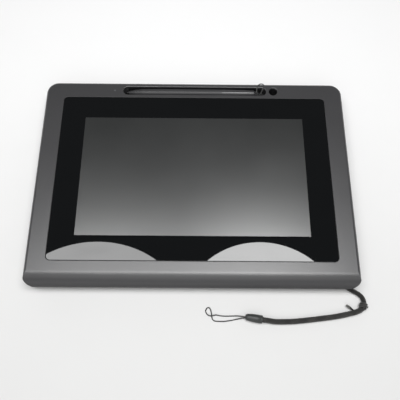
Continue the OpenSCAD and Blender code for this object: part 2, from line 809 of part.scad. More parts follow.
// Section of the rear cover across a span, with its rolled lower corners
module rear_section(span, inset) {
    roll_z = rear_z + rear_roll_r;
    difference() {
        translate([-span / 2 + inset, rear_z + inset]) square([span - 2 * inset, split_z - rear_z - inset]);
        for (side = [0, 1]) mirror([side, 0]) difference() {
            translate([span / 2 - rear_roll_r, rear_z - over]) square(rear_roll_r + over);
            translate([span / 2 - rear_roll_r, roll_z]) circle(rear_roll_r - inset);
        }
    }
}

// Form of the rear cover, drawn in by inset
module rear_form(inset) {
    intersection() {
        case_plate(inset, rear_z, split_z);
        translate([-body_w / 2, 0, 0]) rotate([90, 0, 90]) linear_extrude(body_w) rear_section(body_d, inset);
        translate([0, body_d / 2, 0]) rotate([90, 0, 0]) linear_extrude(body_d) rear_section(body_w, inset);
    }
}

// Cylinders of radius r from z0 to z1 at each place
module pegs(places, r, z0, z1) {
    for (p = places) translate([p[0], p[1], z0]) cylinder(r = r, h = z1 - z0);
}

// Pan head screws with their heads under z, heads down
module screws(places, d, reach, head_d, head_h, z) {
    for (p = places) translate([p[0], p[1], z]) {
        translate([0, 0, -over / 2]) cylinder(d = d, h = reach + over / 2);
        difference() {
            translate([0, 0, -head_h]) cylinder(d = head_d, h = head_h);
            translate([0, 0, -head_h - over]) cylinder(d = d * socket_share, h = over + head_h / 2, $fn = 6);
        }
    }
}

module front_bezel() {
    ring_w = opening_w + 2 * ring_wall;
    ring_d = opening_d + 2 * ring_wall;
    color("#4b4b4e") difference() {
        union() {
            difference() {
                front_form(0, split_z, front_z);
                front_form(wall, split_z - over, cavity_top);
            }
            translate([0, screen_y, 0])
                plate(ring_w, ring_d, opening_r + ring_wall, ledge_bot, cavity_top + over);
            pegs(post_at, post_r, chassis_bot + chassis_t, ledge_bot + over);
            intersection() {
                front_form(wall / 2, split_z, front_z - front_wall / 2);
                union() {
                    pegs(case_screw_at, boss_r, split_z, front_z);
                    pegs(port_screw_at, port_post_r, port_top, front_z);
                }
            }
        }
        translate([0, screen_y, 0]) {
            plate(opening_w, opening_d, opening_r, ledge_top, front_z + over);
            plate(ledge_open_w, ledge_open_d, glass_r, split_z, front_z);
            carry_round(opening_w, opening_d, opening_r)
                polygon([
                    [opening_r - over, front_z - opening_chamfer - over],
                    [opening_r + opening_chamfer + over, front_z + over],
                    [opening_r - over, front_z + over]
                ]);
        }
        translate([tray_mid_x, tray_y, 0]) {
            plate(tray_span, tray_w, tray_w / 2 - sliver, split_z, front_z + over);
            round_rim(tray_span, tray_w, tray_w / 2 - sliver, front_z, tray_edge_r);
        }
        translate([well_x, well_y, 0]) {
            translate([0, 0, split_z]) cylinder(d = well_d, h = front_z);
            rotate_extrude() difference() {
                translate([0, front_z - tray_edge_r])
                    square([well_d / 2 + tray_edge_r, tray_edge_r + over]);
                translate([well_d / 2 + tray_edge_r, front_z - tray_edge_r]) circle(tray_edge_r);
            }
        }
        translate([led_x, led_y, split_z]) cylinder(d = led_d + 2 * hold_gap, h = front_z);
        translate([usb_x, body_d / 2, port_z]) rotate([90, 0, 0])
            translate([0, 0, -over]) linear_extrude(wall + 2 * over)
                rounded_rect(usb_w + 2 * fit_gap, usb_h + 2 * fit_gap, usb_h / 2);
        translate([button_x, body_d / 2, port_z]) rotate([90, 0, 0])
            translate([0, 0, -over]) linear_extrude(wall + 2 * over)
                rounded_rect(button_w + 2 * fit_gap, button_h + 2 * fit_gap, button_h / 2);
        translate([body_w / 2 - wall - over, lock_y, port_z]) rotate([90, 0, 90])
            linear_extrude(wall + 2 * over) rounded_rect(lock_len + over, lock_h + over, lock_h / 2);
        pegs(post_at, frame_screw_d / 2 + hold_gap, chassis_bot, ledge_bot);
        pegs(case_screw_at, case_screw_d / 2 + hold_gap, split_z - over,
            split_z + case_screw_hold + screw_end_gap);
        pegs(port_screw_at, port_screw_d / 2 + hold_gap, port_bot, cavity_top - over);
    }
}

// Pocket for one leg at the right, from below, grown by extra all round
module leg_pocket(extra) {
    w = leg_w + 2 * (leg_gap + extra);
    y0 = leg_end_y - leg_gap - extra;
    y1 = leg_axis_y + leg_t / 2 + leg_back_gap + extra;
    top = leg_pocket_top + extra;
    translate([leg_x - w / 2, y0, rear_z - over]) cube([w, y1 - y0, top - rear_z + over]);
    translate([leg_x - notch_w / 2 - extra, y0 - notch_len, rear_z - over])
        cube([notch_w + 2 * extra, notch_len + over, top - rear_z + over]);
}

// Pocket and way out for the tether, in the anchor's own place, grown by extra
module tether_pocket(extra) {
    back = anchor_eye_d / 2 + anchor_room + extra;
    side = anchor_pocket_w / 2 + extra;
    run = anchor_channel_w / 2 + extra;
    top = anchor_top + extra - rear_z + over;
    translate([anchor_x, anchor_y, rear_z - over]) rotate(anchor_turn) {
        translate([-back, -side, 0]) cube([back + anchor_eye_len / 2 + extra, 2 * side, top]);
        translate([0, -run, 0]) cube([body_w, 2 * run, top]);
    }
}

// Locating lip of the rear cover, relieved at the bosses, the well, the button and the lock plate
module locating_lip() {
    outer = wall + fit_gap;
    inner = outer + lip_t;
    top = split_z + lip_h;
    difference() {
        case_plate(outer, split_z - lip_root, top);
        case_plate(inner, split_z - lip_root - over, top + over);
        pegs(case_screw_at, boss_r + fit_gap, split_z, top + over);
        pegs([[well_x, well_y]], well_d / 2 + tray_wall + fit_gap, split_z - lip_root - over, top + over);
        translate([button_x - button_w / 2 - button_flange - fit_gap, 0, split_z])
            cube([button_w + 2 * (button_flange + fit_gap), body_d, lip_h + over]);
        translate([0, lock_y - lock_len / 2 - lock_end - fit_gap, split_z])
            cube([body_w, lock_len + 2 * (lock_end + fit_gap), lip_h + over]);
    }
}

module rear_cover() {
    color("#3c3c3f") difference() {
        union() {
            difference() {
                rear_form(0);
                rear_form(wall);
                translate([0, 0, split_z - seam]) linear_extrude(seam + over) difference() {
                    square([body_w + over, body_d + over], center = true);
                    case_plan(seam);
                }
            }
            locating_lip();
            intersection() {
                rear_form(0);
                union() {
                    pegs(case_screw_at, boss_r, rear_z, split_z);
                    for (side = [0, 1]) mirror([side, 0, 0]) {
                        leg_pocket(pocket_wall);
                        translate([leg_x, leg_axis_y, leg_axis_z]) rotate([0, 90, 0])
                            cylinder(r = leg_pocket_top + pocket_wall - leg_axis_z, h = leg_hole_len,
                                center = true);
                    }
                    pegs(insert_at, insert_boss_r, rear_z, rear_z + insert_len + pocket_wall);
                    for (x = rib_x) translate([x - rib_t / 2, -body_d / 2, rear_z])
                        cube([rib_t, body_d, wall + rib_h]);
                    for (y = rib_y) translate([-body_w / 2, y - rib_t / 2, rear_z])
                        cube([body_w, rib_t, wall + rib_h]);
                    tether_pocket(anchor_wall);
                }
            }
        }
        for (side = [0, 1]) mirror([side, 0, 0]) {
            leg_pocket(0);
            translate([leg_x, leg_axis_y, leg_axis_z]) rotate([0, 90, 0])
                cylinder(d = leg_pin_d + 2 * hold_gap, h = leg_hole_len, center = true);
        }
        tether_pocket(0);
        translate([anchor_x, anchor_y, anchor_z]) rotate([90, 0, anchor_turn])
            cylinder(d = anchor_pin_d + 2 * hold_gap, h = anchor_pin_len + 2 * butt_gap, center = true);
        pegs(insert_at, insert_d / 2 + hold_gap, rear_z - over, rear_z + insert_len);
        pegs(case_screw_at, case_screw_d / 2 + fit_gap, rear_z - over, split_z + over);
        pegs(case_screw_at, case_head_d / 2 + fit_gap, rear_z - over, case_seat_z);
        pegs(foot_at, foot_d / 2 + hold_gap, rear_z - over, rear_z + foot_recess);
    }
}

module cover_glass() {
    color("#15171a") translate([0, screen_y, 0])
        soft_plate(glass_w, glass_d, glass_r, glass_bot, glass_top, glass_edge_r);
}

// Flat frame round the screen's middle
module screen_frame(w, d, r, hole_w, hole_d, hole_r, z0, z1) {
    translate([0, screen_y, 0]) difference() {
        plate(w, d, r, z0, z1);
        plate(hole_w, hole_d, hole_r, z0 - over, z1 + over);
    }
}

module glass_tape() {
    color("#202020") screen_frame(glass_w - 2 * fit_gap, glass_d - 2 * fit_gap, glass_r - fit_gap,
        ledge_open_w + 2 * fit_gap, ledge_open_d + 2 * fit_gap, glass_r - fit_gap, ledge_top, glass_bot);
}

module dust_gasket() {
    color("#2a2a2a") screen_frame(lcd_w - 2 * gasket_inset, lcd_d - 2 * gasket_inset, gasket_r,
        screen_w + 2 * gasket_open, screen_d + 2 * gasket_open, gasket_hole_r, lcd_top, glass_bot);
}

module lcd_front_frame() {
    color("#9a9c9e") translate([0, screen_y, 0]) difference() {
        plate(lcd_w, lcd_d, module_r, lcd_joint, lcd_top);
        plate(lcd_w - 2 * sheet_t, lcd_d - 2 * sheet_t, sheet_bend_r, lcd_joint - over, cell_top);
        plate(screen_w + 2 * window_open, screen_d + 2 * window_open, sheet_bend_r, lcd_joint,
            lcd_top + over);
        for (k = [-2 : 2], sy = [-1, 1]) translate([k * clip_pitch, sy * lcd_d / 2, lcd_joint])
            cube([clip_w, 4 * sheet_t, clip_h], center = true);
    }
}

module lcd_cell() {
    color("#59605c") translate([0, screen_y, 0]) plate(cell_w, cell_d, cell_r, guide_top, cell_top);
}

module backlight_guide() {
    color("#e6e8e6") translate([0, screen_y, 0]) difference() {
        plate(cell_w, cell_d, module_r, lcd_floor, guide_top);
        for (sx = [-1, 1], sy = [-1, 1])
            translate([sx * lcd_w / 2, sy * guide_notch_y, lcd_floor - over])
                cylinder(r = guide_notch_r, h = guide_t + 2 * over);
    }
}

module lcd_rear_tray() {
    color("#b4b6b8") translate([0, screen_y, 0]) difference() {
        plate(lcd_w, lcd_d, module_r, lcd_bot, lcd_joint);
        plate(lcd_w - 2 * sheet_t, lcd_d - 2 * sheet_t, sheet_bend_r, lcd_floor, lcd_joint + over);
    }
}

module sensor_board() {
    color("#1f5a35") translate([0, screen_y, 0]) difference() {
        plate(sensor_w, sensor_d, sensor_r, sensor_bot, lcd_bot);
        for (sx = [-1, 1]) translate([sx * sensor_w / 2, 0, sensor_bot - over])
            cylinder(r = sensor_notch_r, h = sensor_t + 2 * over);
    }
}

module shield_sheet() {
    color("#8d9092") translate([0, screen_y, 0])
        plate(sensor_w - 2 * shield_inset, sensor_d - 2 * shield_inset, sensor_r, shield_bot, sensor_bot);
}

// Slot in the chassis that a ribbon drops through
module ribbon_slot(x, w) {
    translate([x, ribbon_drop_y, 0])
        plate(w + 2 * ribbon_side, ribbon_slot, slot_r, chassis_bot - over, shield_bot + over);
}

module chassis() {
    color("#a9acaf") difference() {
        union() {
            translate([0, screen_y, 0]) plate(glass_w, glass_d, chassis_r, chassis_bot, shield_bot);
            pegs(main_screw_at, standoff_r, main_top, chassis_bot + chassis_t / 2);
            for (sy = [-1, 1]) translate([0, screen_y + sy * (glass_d / 2 - bead_end), 0])
                plate(glass_w - 2 * bead_side, bead_w, bead_w / 2 - sliver, chassis_bot - bead_h,
                    chassis_bot + chassis_t / 2);
        }
        for (sx = [-1, 1], sy = [-1, 1])
            translate([sx * (window_x0 + window_x1) / 2, screen_y + sy * (glass_d / 2 - window_end), 0])
                plate(window_x1 - window_x0, window_d, window_r, chassis_bot - over, shield_bot + over);
        ribbon_slot(lcd_ribbon_x, lcd_ribbon_w);
        ribbon_slot(sensor_ribbon_x, sensor_ribbon_w);
        pegs(post_at, frame_screw_d / 2 + fit_gap, chassis_bot - over, shield_bot + over);
        pegs(main_screw_at, frame_screw_d / 2 + hold_gap, main_top - over, shield_bot + over);
    }
}

module chassis_screws() {
    color("#c9cbcd") screws(post_at, frame_screw_d, chassis_t + frame_screw_hold, frame_head_d, frame_head_h,
        chassis_bot);
}

module main_board() {
    color("#1d6b3a") difference() {
        translate([0, main_y, 0]) plate(main_w, main_d, main_r, main_bot, main_top);
        pegs(main_screw_at, frame_screw_d / 2 + fit_gap, main_bot - over, main_top + over);
        translate([main_notch_x, main_front_y, main_bot - over])
            cylinder(r = main_notch_r, h = board_t + 2 * over);
    }
}

// Square packages, a round inductor, a crystal can and the three ribbon connectors
module board_chips() {
    color("#26282b") {
        for (c = packages) translate([c[0], main_y + c[1], 0]) {
            plate(c[2], c[3], package_r, main_top, main_top + c[4]);
            plate(c[2] + 2 * lead_out, c[3] - 4 * lead_out, lead_r, main_top, main_top + lead_t);
        }
        translate([inductor[0], main_y + inductor[1], main_top]) cylinder(d = inductor[2], h = inductor[4]);
        translate([crystal[0], main_y + crystal[1], 0])
            plate(crystal[2], crystal[3], crystal[4], main_top, main_top + crystal[4]);
        translate([lcd_ribbon_x, connector_y, 0])
            plate(lcd_ribbon_w + 2 * ribbon_side, connector_d, connector_r, main_top, ribbon_z);
        translate([sensor_ribbon_x, connector_y, 0])
            plate(sensor_ribbon_w + 2 * ribbon_side, connector_d, connector_r, main_top, ribbon_z);
        translate([port_connector[0], port_connector[1], 0])
            plate(connector_d, port_ribbon_w + 2 * ribbon_side, connector_r, main_top, port_bot - ribbon_t);
    }
}

module board_screws() {
    color("#c9cbcd") screws(main_screw_at, frame_screw_d, board_t + frame_screw_hold, frame_head_d,
        frame_head_h, main_bot);
}

// Flat ribbon that leaves an edge at (y, z), drops through the chassis and runs to its connector
module drop_ribbon(x, w, y, z) {
    t = ribbon_t;
    y1 = main_front_y + connector_d;
    translate([x - w / 2, 0, 0]) rotate([90, 0, 90]) linear_extrude(w) polygon([
        [y, z], [ribbon_drop_y - t / 2, z], [ribbon_drop_y - t / 2, ribbon_z], [y1, ribbon_z],
        [y1, ribbon_z + t], [ribbon_drop_y + t / 2, ribbon_z + t], [ribbon_drop_y + t / 2, z - t], [y, z - t]
    ]);
}

module lcd_ribbon() {
    color("#c98b2e") drop_ribbon(lcd_ribbon_x, lcd_ribbon_w, screen_y - lcd_d / 2, lcd_bot + rear_rim_h / 2);
}

module sensor_ribbon() {
    color("#c98b2e")
        drop_ribbon(sensor_ribbon_x, sensor_ribbon_w, screen_y - sensor_d / 2, lcd_bot - sensor_t / 4);
}

module port_board() {
    flange = button_flange + fit_gap;
    color("#1d6b3a") difference() {
        translate([(port_x0 + port_x1) / 2, (port_front_y + port_rear_y) / 2, 0])
            plate(port_x1 - port_x0, port_rear_y - port_front_y, port_r, port_bot, port_top);
        pegs(port_screw_at, port_screw_d / 2 + fit_gap, port_bot - over, port_top + over);
        translate([button_x - button_w / 2 - flange, button_inner_y - button_travel - fit_gap,
            port_bot - over])
            cube([button_w + 2 * flange, body_d, port_t + 2 * over]);
    }
}

module port_screws() {
    color("#c9cbcd") screws(port_screw_at, port_screw_d, port_t + port_screw_hold, port_head_d, port_head_h,
        port_bot);
}

// Flat ribbon in the shape of an L from the port board to its connector, under the chassis
module port_ribbon() {
    w = port_ribbon_w;
    y0 = port_connector[1] - w / 2;
    color("#c98b2e") translate([usb_x - w / 2, y0, port_bot - ribbon_t]) linear_extrude(ribbon_t) {
        square([w, port_front_y + port_ribbon_land - y0]);
        square([port_connector[0] - usb_x + w / 2, w]);
    }
}

module usb_socket() {
    color("#b9bbbd") translate([usb_x, socket_y, port_z]) rotate([90, 0, 0]) {
        difference() {
            linear_extrude(usb_len) rounded_rect(usb_w, usb_h, usb_h / 2 - sliver);
            translate([0, 0, -over]) linear_extrude(usb_len - usb_back + over)
                rounded_rect(usb_w - 2 * usb_shell, usb_h - 2 * usb_shell, usb_h / 2 - usb_shell - sliver);
        }
        translate([0, 0, usb_len - usb_back / 2 - tongue[2]]) linear_extrude(tongue[2])
            square([tongue[0], tongue[1]], center = true);
    }
}

// Side switch behind the power button, on the port board
module power_switch() {
    key_y = button_inner_y - button_travel - butt_gap;
    color("#d8d8d6") {
        translate([button_x - switch_body[0] / 2, key_y - switch_key_out - switch_body[1], port_top])
            cube(switch_body);
        translate([button_x, key_y, port_z]) rotate([90, 0, 0])
            cylinder(r = switch_key_r, h = switch_key_len);
    }
}

module power_button() {
    face_y = body_d / 2 - butt_gap;
    color("#2b2b2d") translate([button_x, 0, port_z]) {
        translate([0, face_y, 0]) rotate([90, 0, 0]) linear_extrude(face_y - button_inner_y)
            rounded_rect(button_w, button_h, button_h / 2 - sliver);
        translate([0, button_inner_y + button_flange_t, 0]) rotate([90, 0, 0]) linear_extrude(button_flange_t)
            rounded_rect(button_w + 2 * button_flange, button_h + 2 * button_flange, button_flange_r);
    }
}

module power_led() {
    color("#f2f2ee") translate([led_x, led_y, 0])
        plate(led_chip[0], led_chip[1], led_chip_r, port_top, port_top + led_chip[2]);
}

// Clear pipe from the light chip to the front face, with a foot
module light_pipe() {
    base = port_top + led_chip[2];
    color("#dfe6ea") translate([led_x, led_y, base]) {
        cylinder(d = led_d, h = front_z - base);
        cylinder(d = pipe_foot_d, h = pipe_foot_h);
    }
}

module lock_plate() {
    x = body_w / 2 - wall - lock_t;
    color("#8d9092") translate([x, lock_y, port_z]) rotate([90, 0, 90]) difference() {
        linear_extrude(lock_t) rounded_rect(lock_len + 2 * lock_end, lock_h + 2 * lock_land, lock_r);
        translate([0, 0, -over]) linear_extrude(lock_t + 2 * over)
            rounded_rect(lock_len, lock_h, lock_h / 2 - sliver);
    }
}

// Trough with a sloping end at the pen's tip and a saddle under each end of the pen
module pen_tray() {
    color("#161617") translate([tray_mid_x, tray_y, 0]) {
        difference() {
            plate(tray_span + 2 * tray_wall, tray_w + 2 * tray_wall, tray_w / 2 + tray_wall - sliver,
                tray_floor - tray_floor_t, cavity_top);
            plate(tray_span, tray_w, tray_w / 2 - sliver, tray_floor, cavity_top + over);
        }
        translate([-(tray_span - tray_w) / 2, 0, 0]) difference() {
            translate([0, 0, tray_floor - saddle_root])
                cylinder(d = tray_w + tray_wall, h = cavity_top - tray_floor + saddle_root);
            translate([0, 0, tray_floor])
                cylinder(r1 = ramp_foot_r, r2 = tray_w / 2, h = cavity_top - tray_floor + sliver);
            translate([0, -tray_w, tray_floor - over]) cube([tray_w, 2 * tray_w, front_z]);
        }
        for (sx = [-1, 1]) translate([sx * saddle_x - saddle_w / 2, 0, 0]) difference() {
            translate([0, -(tray_w + tray_wall) / 2, tray_floor - saddle_root])
                cube([saddle_w, tray_w + tray_wall, pen_z - saddle_drop - tray_floor + saddle_root]);
            translate([-over, 0, pen_z]) rotate([0, 90, 0])
                cylinder(r = pen_r + fit_gap, h = saddle_w + 2 * over);
        }
    }
}

module pen_well() {
    base = well_floor - tray_wall;
    color("#161617") translate([well_x, well_y, base]) difference() {
        cylinder(d = well_d + 2 * tray_wall, h = cavity_top - base);
        translate([0, 0, tray_wall]) cylinder(d = well_d, h = well_depth);
    }
}

module cover_screws() {
    color("#6f7173") screws(case_screw_at, case_screw_d, split_z + case_screw_hold - case_seat_z, case_head_d,
        case_head_h, case_seat_z);
}

// Turned inserts with a groove round the middle
module vesa_inserts() {
    r = insert_d / 2;
    mid = insert_len / 2;
    color("#c79a3c") for (p = insert_at) translate([p[0], p[1], rear_z]) rotate_extrude() polygon([
        [insert_bore / 2, 0], [r, 0], [r, mid - 1.5 * insert_groove],
        [r - insert_groove, mid - 0.5 * insert_groove], [r - insert_groove, mid + 0.5 * insert_groove],
        [r, mid + 1.5 * insert_groove], [r, insert_len], [insert_bore / 2, insert_len]
    ]);
}

module rubber_feet() {
    r = foot_d / 2;
    color("#1b1b1b") for (p = foot_at) translate([p[0], p[1], 0]) rotate_extrude() polygon([
        [0, 0], [r - foot_edge, 0], [r, foot_edge], [r, rear_z + foot_recess], [0, rear_z + foot_recess]
    ]);
}

// One leg, folded up, hinge at the rear and rubber tip at the front, hollowed from above between its ribs
module leg(x) {
    tip_y = leg_end_y + pad_len;
    root_y = leg_axis_y - leg_t;
    color("#343437") translate([x, 0, 0]) difference() {
        union() {
            translate([-leg_w / 2, leg_axis_y, leg_axis_z]) rotate([0, 90, 0]) cylinder(d = leg_t, h = leg_w);
            translate([-leg_w / 2, tip_y, leg_axis_z - leg_t / 2]) cube([leg_w, leg_axis_y - tip_y, leg_t]);
        }
        translate([-leg_w, leg_axis_y, leg_axis_z]) rotate([0, 90, 0])
            cylinder(d = leg_pin_d + 2 * run_gap, h = 2 * leg_w);
        for (sx = [-1, 1]) translate([sx * (leg_w - leg_rib) / 4, (tip_y + root_y) / 2, 0])
            plate(leg_w / 2 - 1.5 * leg_rib, root_y - tip_y - 2 * leg_rib, leg_cut_r,
                leg_axis_z - leg_t / 2 + leg_skin, leg_axis_z + leg_t);
    }
}

// Rubber tip that closes the end of a leg
module leg_pad(x) {
    color("#1b1b1b") translate([x, leg_end_y, 0]) intersection() {
        translate([0, pad_len, 0])
            plate(leg_w, 2 * pad_len, pad_r, leg_axis_z - leg_t / 2, leg_axis_z + leg_t / 2);
        translate([-leg_w / 2, 0, 0]) cube([leg_w, pad_len, leg_axis_z + leg_t]);
    }
}

module leg_left() { leg(-leg_x); }
module leg_right() { leg(leg_x); }
module leg_pad_left() { leg_pad(-leg_x); }
module leg_pad_right() { leg_pad(leg_x); }

module leg_pins() {
    color("#b9bbbd") for (sx = [-1, 1]) translate([sx * leg_x, leg_axis_y, leg_axis_z]) rotate([0, 90, 0])
        cylinder(d = leg_pin_d, h = leg_hole_len - 2 * butt_gap, center = true);
}

// Turns a profile drawn as (distance along the pen, radius) about the pen's axis
module pen_turned() {
    translate([0, tray_y, pen_z]) rotate([90, 0, 90]) rotate_extrude() rotate(90) mirror([0, 1]) children();
}

// Slot for the side switch, on the underside of the grip
module switch_slot(extra, floor_r, top_r) {
    translate([switch_mid_x, tray_y, pen_z - top_r]) linear_extrude(top_r - floor_r)
        rounded_rect(switch_len + 2 * extra, switch_w + 2 * extra, switch_w / 2 + extra - sliver);
}

module pen_grip() {
    nib_r = nib_d / 2 + run_gap;
    seat_r = spigot_r + hold_gap;
    color("#5f5f63") difference() {
        pen_turned() polygon([
            [nose_x, nib_r], [nose_x, nose_d / 2], [nose_x + nose_len * nose_swell_at, pen_r * nose_swell],
            [nose_x + nose_len, pen_r - waist_depth], [nose_x + nose_len + waist_len, pen_r],
            [grip_end_x, pen_r], [grip_end_x, seat_r], [grip_end_x - spigot_len, seat_r],
            [grip_end_x - spigot_len, grip_bore_r], [core_x0, grip_bore_r], [core_x0, nib_r]
        ]);
        switch_slot(run_gap + butt_gap, switch_floor_r, pen_r + over);
    }
}

module pen_barrel() {
    x0 = grip_end_x - spigot_len + butt_gap;
    x1 = grip_end_x + butt_gap;
    seat_r = tail_spigot_r + hold_gap;
    color("#6a6a6e") pen_turned() polygon([
        [x0, grip_bore_r], [x0, spigot_r], [x1, spigot_r], [x1, pen_r], [tail_x, barrel_end_r],
        [tail_x, seat_r], [tail_x - tail_spigot_len, seat_r], [tail_x - tail_spigot_len, grip_bore_r]
    ]);
}

module pen_nib() {
    tip_r = nib_d / 2;
    color("#1c1c1c") {
        pen_turned() polygon([
            [pen_tip_x + tip_r, 0], [pen_tip_x + tip_r, tip_r], [pen_tip_x + nib_len, tip_r],
            [pen_tip_x + nib_len, 0]
        ]);
        translate([pen_tip_x + tip_r, tray_y, pen_z]) sphere(tip_r);
    }
}

module pen_switch() {
    color("#3a3a3d") intersection() {
        switch_slot(-butt_gap, switch_floor_r + switch_travel + butt_gap, pen_r + switch_out);
        translate([switch_mid_x - switch_len, tray_y, pen_z]) rotate([0, 90, 0])
            cylinder(r = pen_r + switch_out, h = 2 * switch_len);
    }
}

module pen_tail() {
    x0 = tail_x - tail_spigot_len + 2 * butt_gap;
    x1 = tail_x + butt_gap;
    color("#5a5a5e") difference() {
        union() {
            pen_turned() polygon([
                [x0, 0], [x0, tail_spigot_r], [x1, tail_spigot_r], [x1, barrel_end_r],
                [pen_end_x - tail_taper_len, barrel_end_r - tail_taper],
                [pen_end_x - tail_edge_len, tail_d / 2], [pen_end_x, tail_d / 2 - tail_edge], [pen_end_x, 0]
            ]);
            translate([pen_end_x + eye_out / 2, tray_y, 0])
                plate(eye_out + lug_w, lug_w, lug_w / 2 - sliver, pen_z - lug_t / 2, pen_z + lug_t / 2);
        }
        translate([pen_end_x + eye_out, tray_y, pen_z - pen_d]) cylinder(d = eye_d, h = 2 * pen_d);
    }
}

// Coil, its ferrite and its small board as one sealed insert
module pen_core() {
    x0 = core_x0 + butt_gap;
    x1 = core_x0 + coil_len;
    x2 = x1 + coil_groove_len;
    color("#7a4a2a") pen_turned() polygon([
        [x0, 0], [x0, core_r], [x1, core_r], [x1, core_r - coil_groove], [x2, core_r - coil_groove],
        [x2, core_r], [core_x0 + core_len, core_r], [core_x0 + core_len, 0]
    ]);
}

// Sweep of a round section along hand-chosen points
function unit(v) = v / norm(v);
function mix(a, b, t) = a + (b - a) * t;
function curve(p0, p1, p2, p3, t) = 0.5 * (2 * p1 + (p2 - p0) * t + (2 * p0 - 5 * p1 + 4 * p2 - p3) * t * t
    + (3 * p1 - p0 - 3 * p2 + p3) * t * t * t);
function smooth(path, n) = let (last = len(path) - 1) [
    for (i = [0 : last - 1], k = [0 : n - 1])
        curve(path[max(i - 1, 0)], path[i], path[i + 1], path[min(i + 2, last)], k / n),
    path[last]
];
function heading(path, i) = unit(path[min(i + 1, len(path) - 1)] - path[max(i - 1, 0)]);
function square_to(v, t) = unit(v - (v * t) * t);
function carried(path, v, i) = i == 0 ? square_to(v, heading(path, 0))
    : square_to(carried(path, v, i - 1), heading(path, i));

module swept(path, d, sides, first_side) {
    rings = len(path);
    points = [
        for (i = [0 : rings - 1])
            let (t = heading(path, i), u = carried(path, first_side, i), v = cross(t, u))
            for (k = [0 : sides - 1])
                path[i] + d / 2 * (cos(360 * k / sides) * u + sin(360 * k / sides) * v)
    ];
    faces = concat(
        [[for (k = [sides - 1 : -1 : 0]) k]],
        [for (i = [0 : rings - 2], k = [0 : sides - 1])
            let (a = i * sides + k, b = i * sides + (k + 1) % sides)
            each [[a, b, b + sides], [a, b + sides, a + sides]]],
        [[for (k = [0 : sides - 1]) (rings - 1) * sides + k]]
    );
    polyhedron(points, [for (f = faces) [for (k = [len(f) - 1 : -1 : 0]) f[k]]]);
}

module pen_loop() {
    color("#6f6f72") swept(smooth(pen_loop_path, cord_rings), string_d, 8, [1, 0, 0]);
}

module tether_pin() {
    color("#b9bbbd") translate([anchor_x, anchor_y, anchor_z]) rotate([90, 0, anchor_turn])
        cylinder(d = anchor_pin_d, h = anchor_pin_len, center = true);
}

// Moulded eye at the fixed end of the cord
module tether_eye() {
    color("#2c2d2d") translate([anchor_x, anchor_y, anchor_z]) rotate(anchor_turn) difference() {
        union() {
            rotate([90, 0, 0]) cylinder(d = anchor_eye_d, h = anchor_eye_w, center = true);
            rotate([0, 90, 0]) cylinder(d = anchor_eye_d - anchor_neck, h = anchor_eye_len / 2);
            rotate([0, 90, 0])
                cylinder(d1 = anchor_eye_d, d2 = cord_d + 2 * anchor_sleeve, h = anchor_eye_len);
        }
        rotate([90, 0, 0]) cylinder(d = anchor_pin_d + 2 * run_gap, h = 2 * anchor_eye_w, center = true);
    }
}

module tether_cord() {
    color("#232322") swept(smooth(cord_path, cord_rings), cord_d, 10, [0, 0, 1]);
}

// Knot at the bend, with two short tails whose tips are thickened
module tether_knot() {
    color("#2b2b2a") {
        translate(knot_at) rotate([0, 90, knot_turn]) rotate_extrude() difference() {
            union() {
                translate([0, -knot_len / 2]) square([knot_d / 2 - knot_turn_r, knot_len]);
                for (k = [-1 : 1]) translate([knot_d / 2 - knot_turn_r, k * knot_pitch]) circle(knot_turn_r);
            }
            translate([-knot_d, -knot_len]) square([knot_d, 2 * knot_len]);
        }
        for (s = tails) translate(s[0]) rotate([0, 90, s[1]]) {
            cylinder(r = tail_r, h = s[2]);
            translate([0, 0, s[2] / 2]) cylinder(r = tail_tip_r, h = s[2] / 2);
        }
    }
}

module tether_cap() {
    r = cap_d / 2;
    tip_r = cap_tip_d / 2;
    color("#565a59") translate(cap_at) rotate([0, 90, cap_turn]) rotate_extrude() polygon([
        [0, 0], [r - cap_edge, 0], [r, cap_edge], [r, cap_straight],
        [tip_r + cap_neck_r, cap_len - cap_lip - cap_neck], [tip_r, cap_len - cap_lip],
        [tip_r - cap_tip_edge, cap_len], [0, cap_len]
    ]);
}

module tether_string() {
    color("#4a4a4a") swept(smooth(string_path, cord_rings), string_d, 8, [0, 0, 1]);
}

front_bezel();
rear_cover();
cover_glass();
glass_tape();
dust_gasket();
lcd_front_frame();
lcd_cell();
backlight_guide();
lcd_rear_tray();
sensor_board();
shield_sheet();
chassis();
chassis_screws();
main_board();
board_chips();
board_screws();
lcd_ribbon();
sensor_ribbon();
port_board();
port_screws();
port_ribbon();
usb_socket();
power_switch();
power_button();
power_led();
light_pipe();
lock_plate();
pen_tray();
pen_well();
cover_screws();
vesa_inserts();
rubber_feet();
leg_left();
leg_right();
leg_pad_left();
leg_pad_right();
leg_pins();
pen_grip();
pen_barrel();
pen_nib();
pen_switch();
pen_tail();
pen_core();
pen_loop();
tether_pin();
tether_eye();
tether_cord();
tether_knot();
tether_cap();
tether_string();
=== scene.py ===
import math

import bmesh
import bpy
from mathutils import Matrix, Vector, noise


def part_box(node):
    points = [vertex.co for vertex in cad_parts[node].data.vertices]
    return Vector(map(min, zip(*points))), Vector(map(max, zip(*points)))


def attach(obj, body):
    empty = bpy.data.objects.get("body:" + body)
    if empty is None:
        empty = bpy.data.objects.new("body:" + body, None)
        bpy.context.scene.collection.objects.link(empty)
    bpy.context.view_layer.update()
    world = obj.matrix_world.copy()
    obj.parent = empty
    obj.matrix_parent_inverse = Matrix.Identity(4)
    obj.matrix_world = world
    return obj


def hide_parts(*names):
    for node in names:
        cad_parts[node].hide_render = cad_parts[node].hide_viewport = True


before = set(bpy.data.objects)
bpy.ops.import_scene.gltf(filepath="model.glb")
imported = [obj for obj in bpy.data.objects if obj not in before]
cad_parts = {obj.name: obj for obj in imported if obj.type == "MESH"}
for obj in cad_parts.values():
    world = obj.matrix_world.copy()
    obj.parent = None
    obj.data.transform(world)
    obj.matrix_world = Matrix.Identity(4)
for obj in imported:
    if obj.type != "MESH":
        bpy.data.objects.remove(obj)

scene = bpy.context.scene
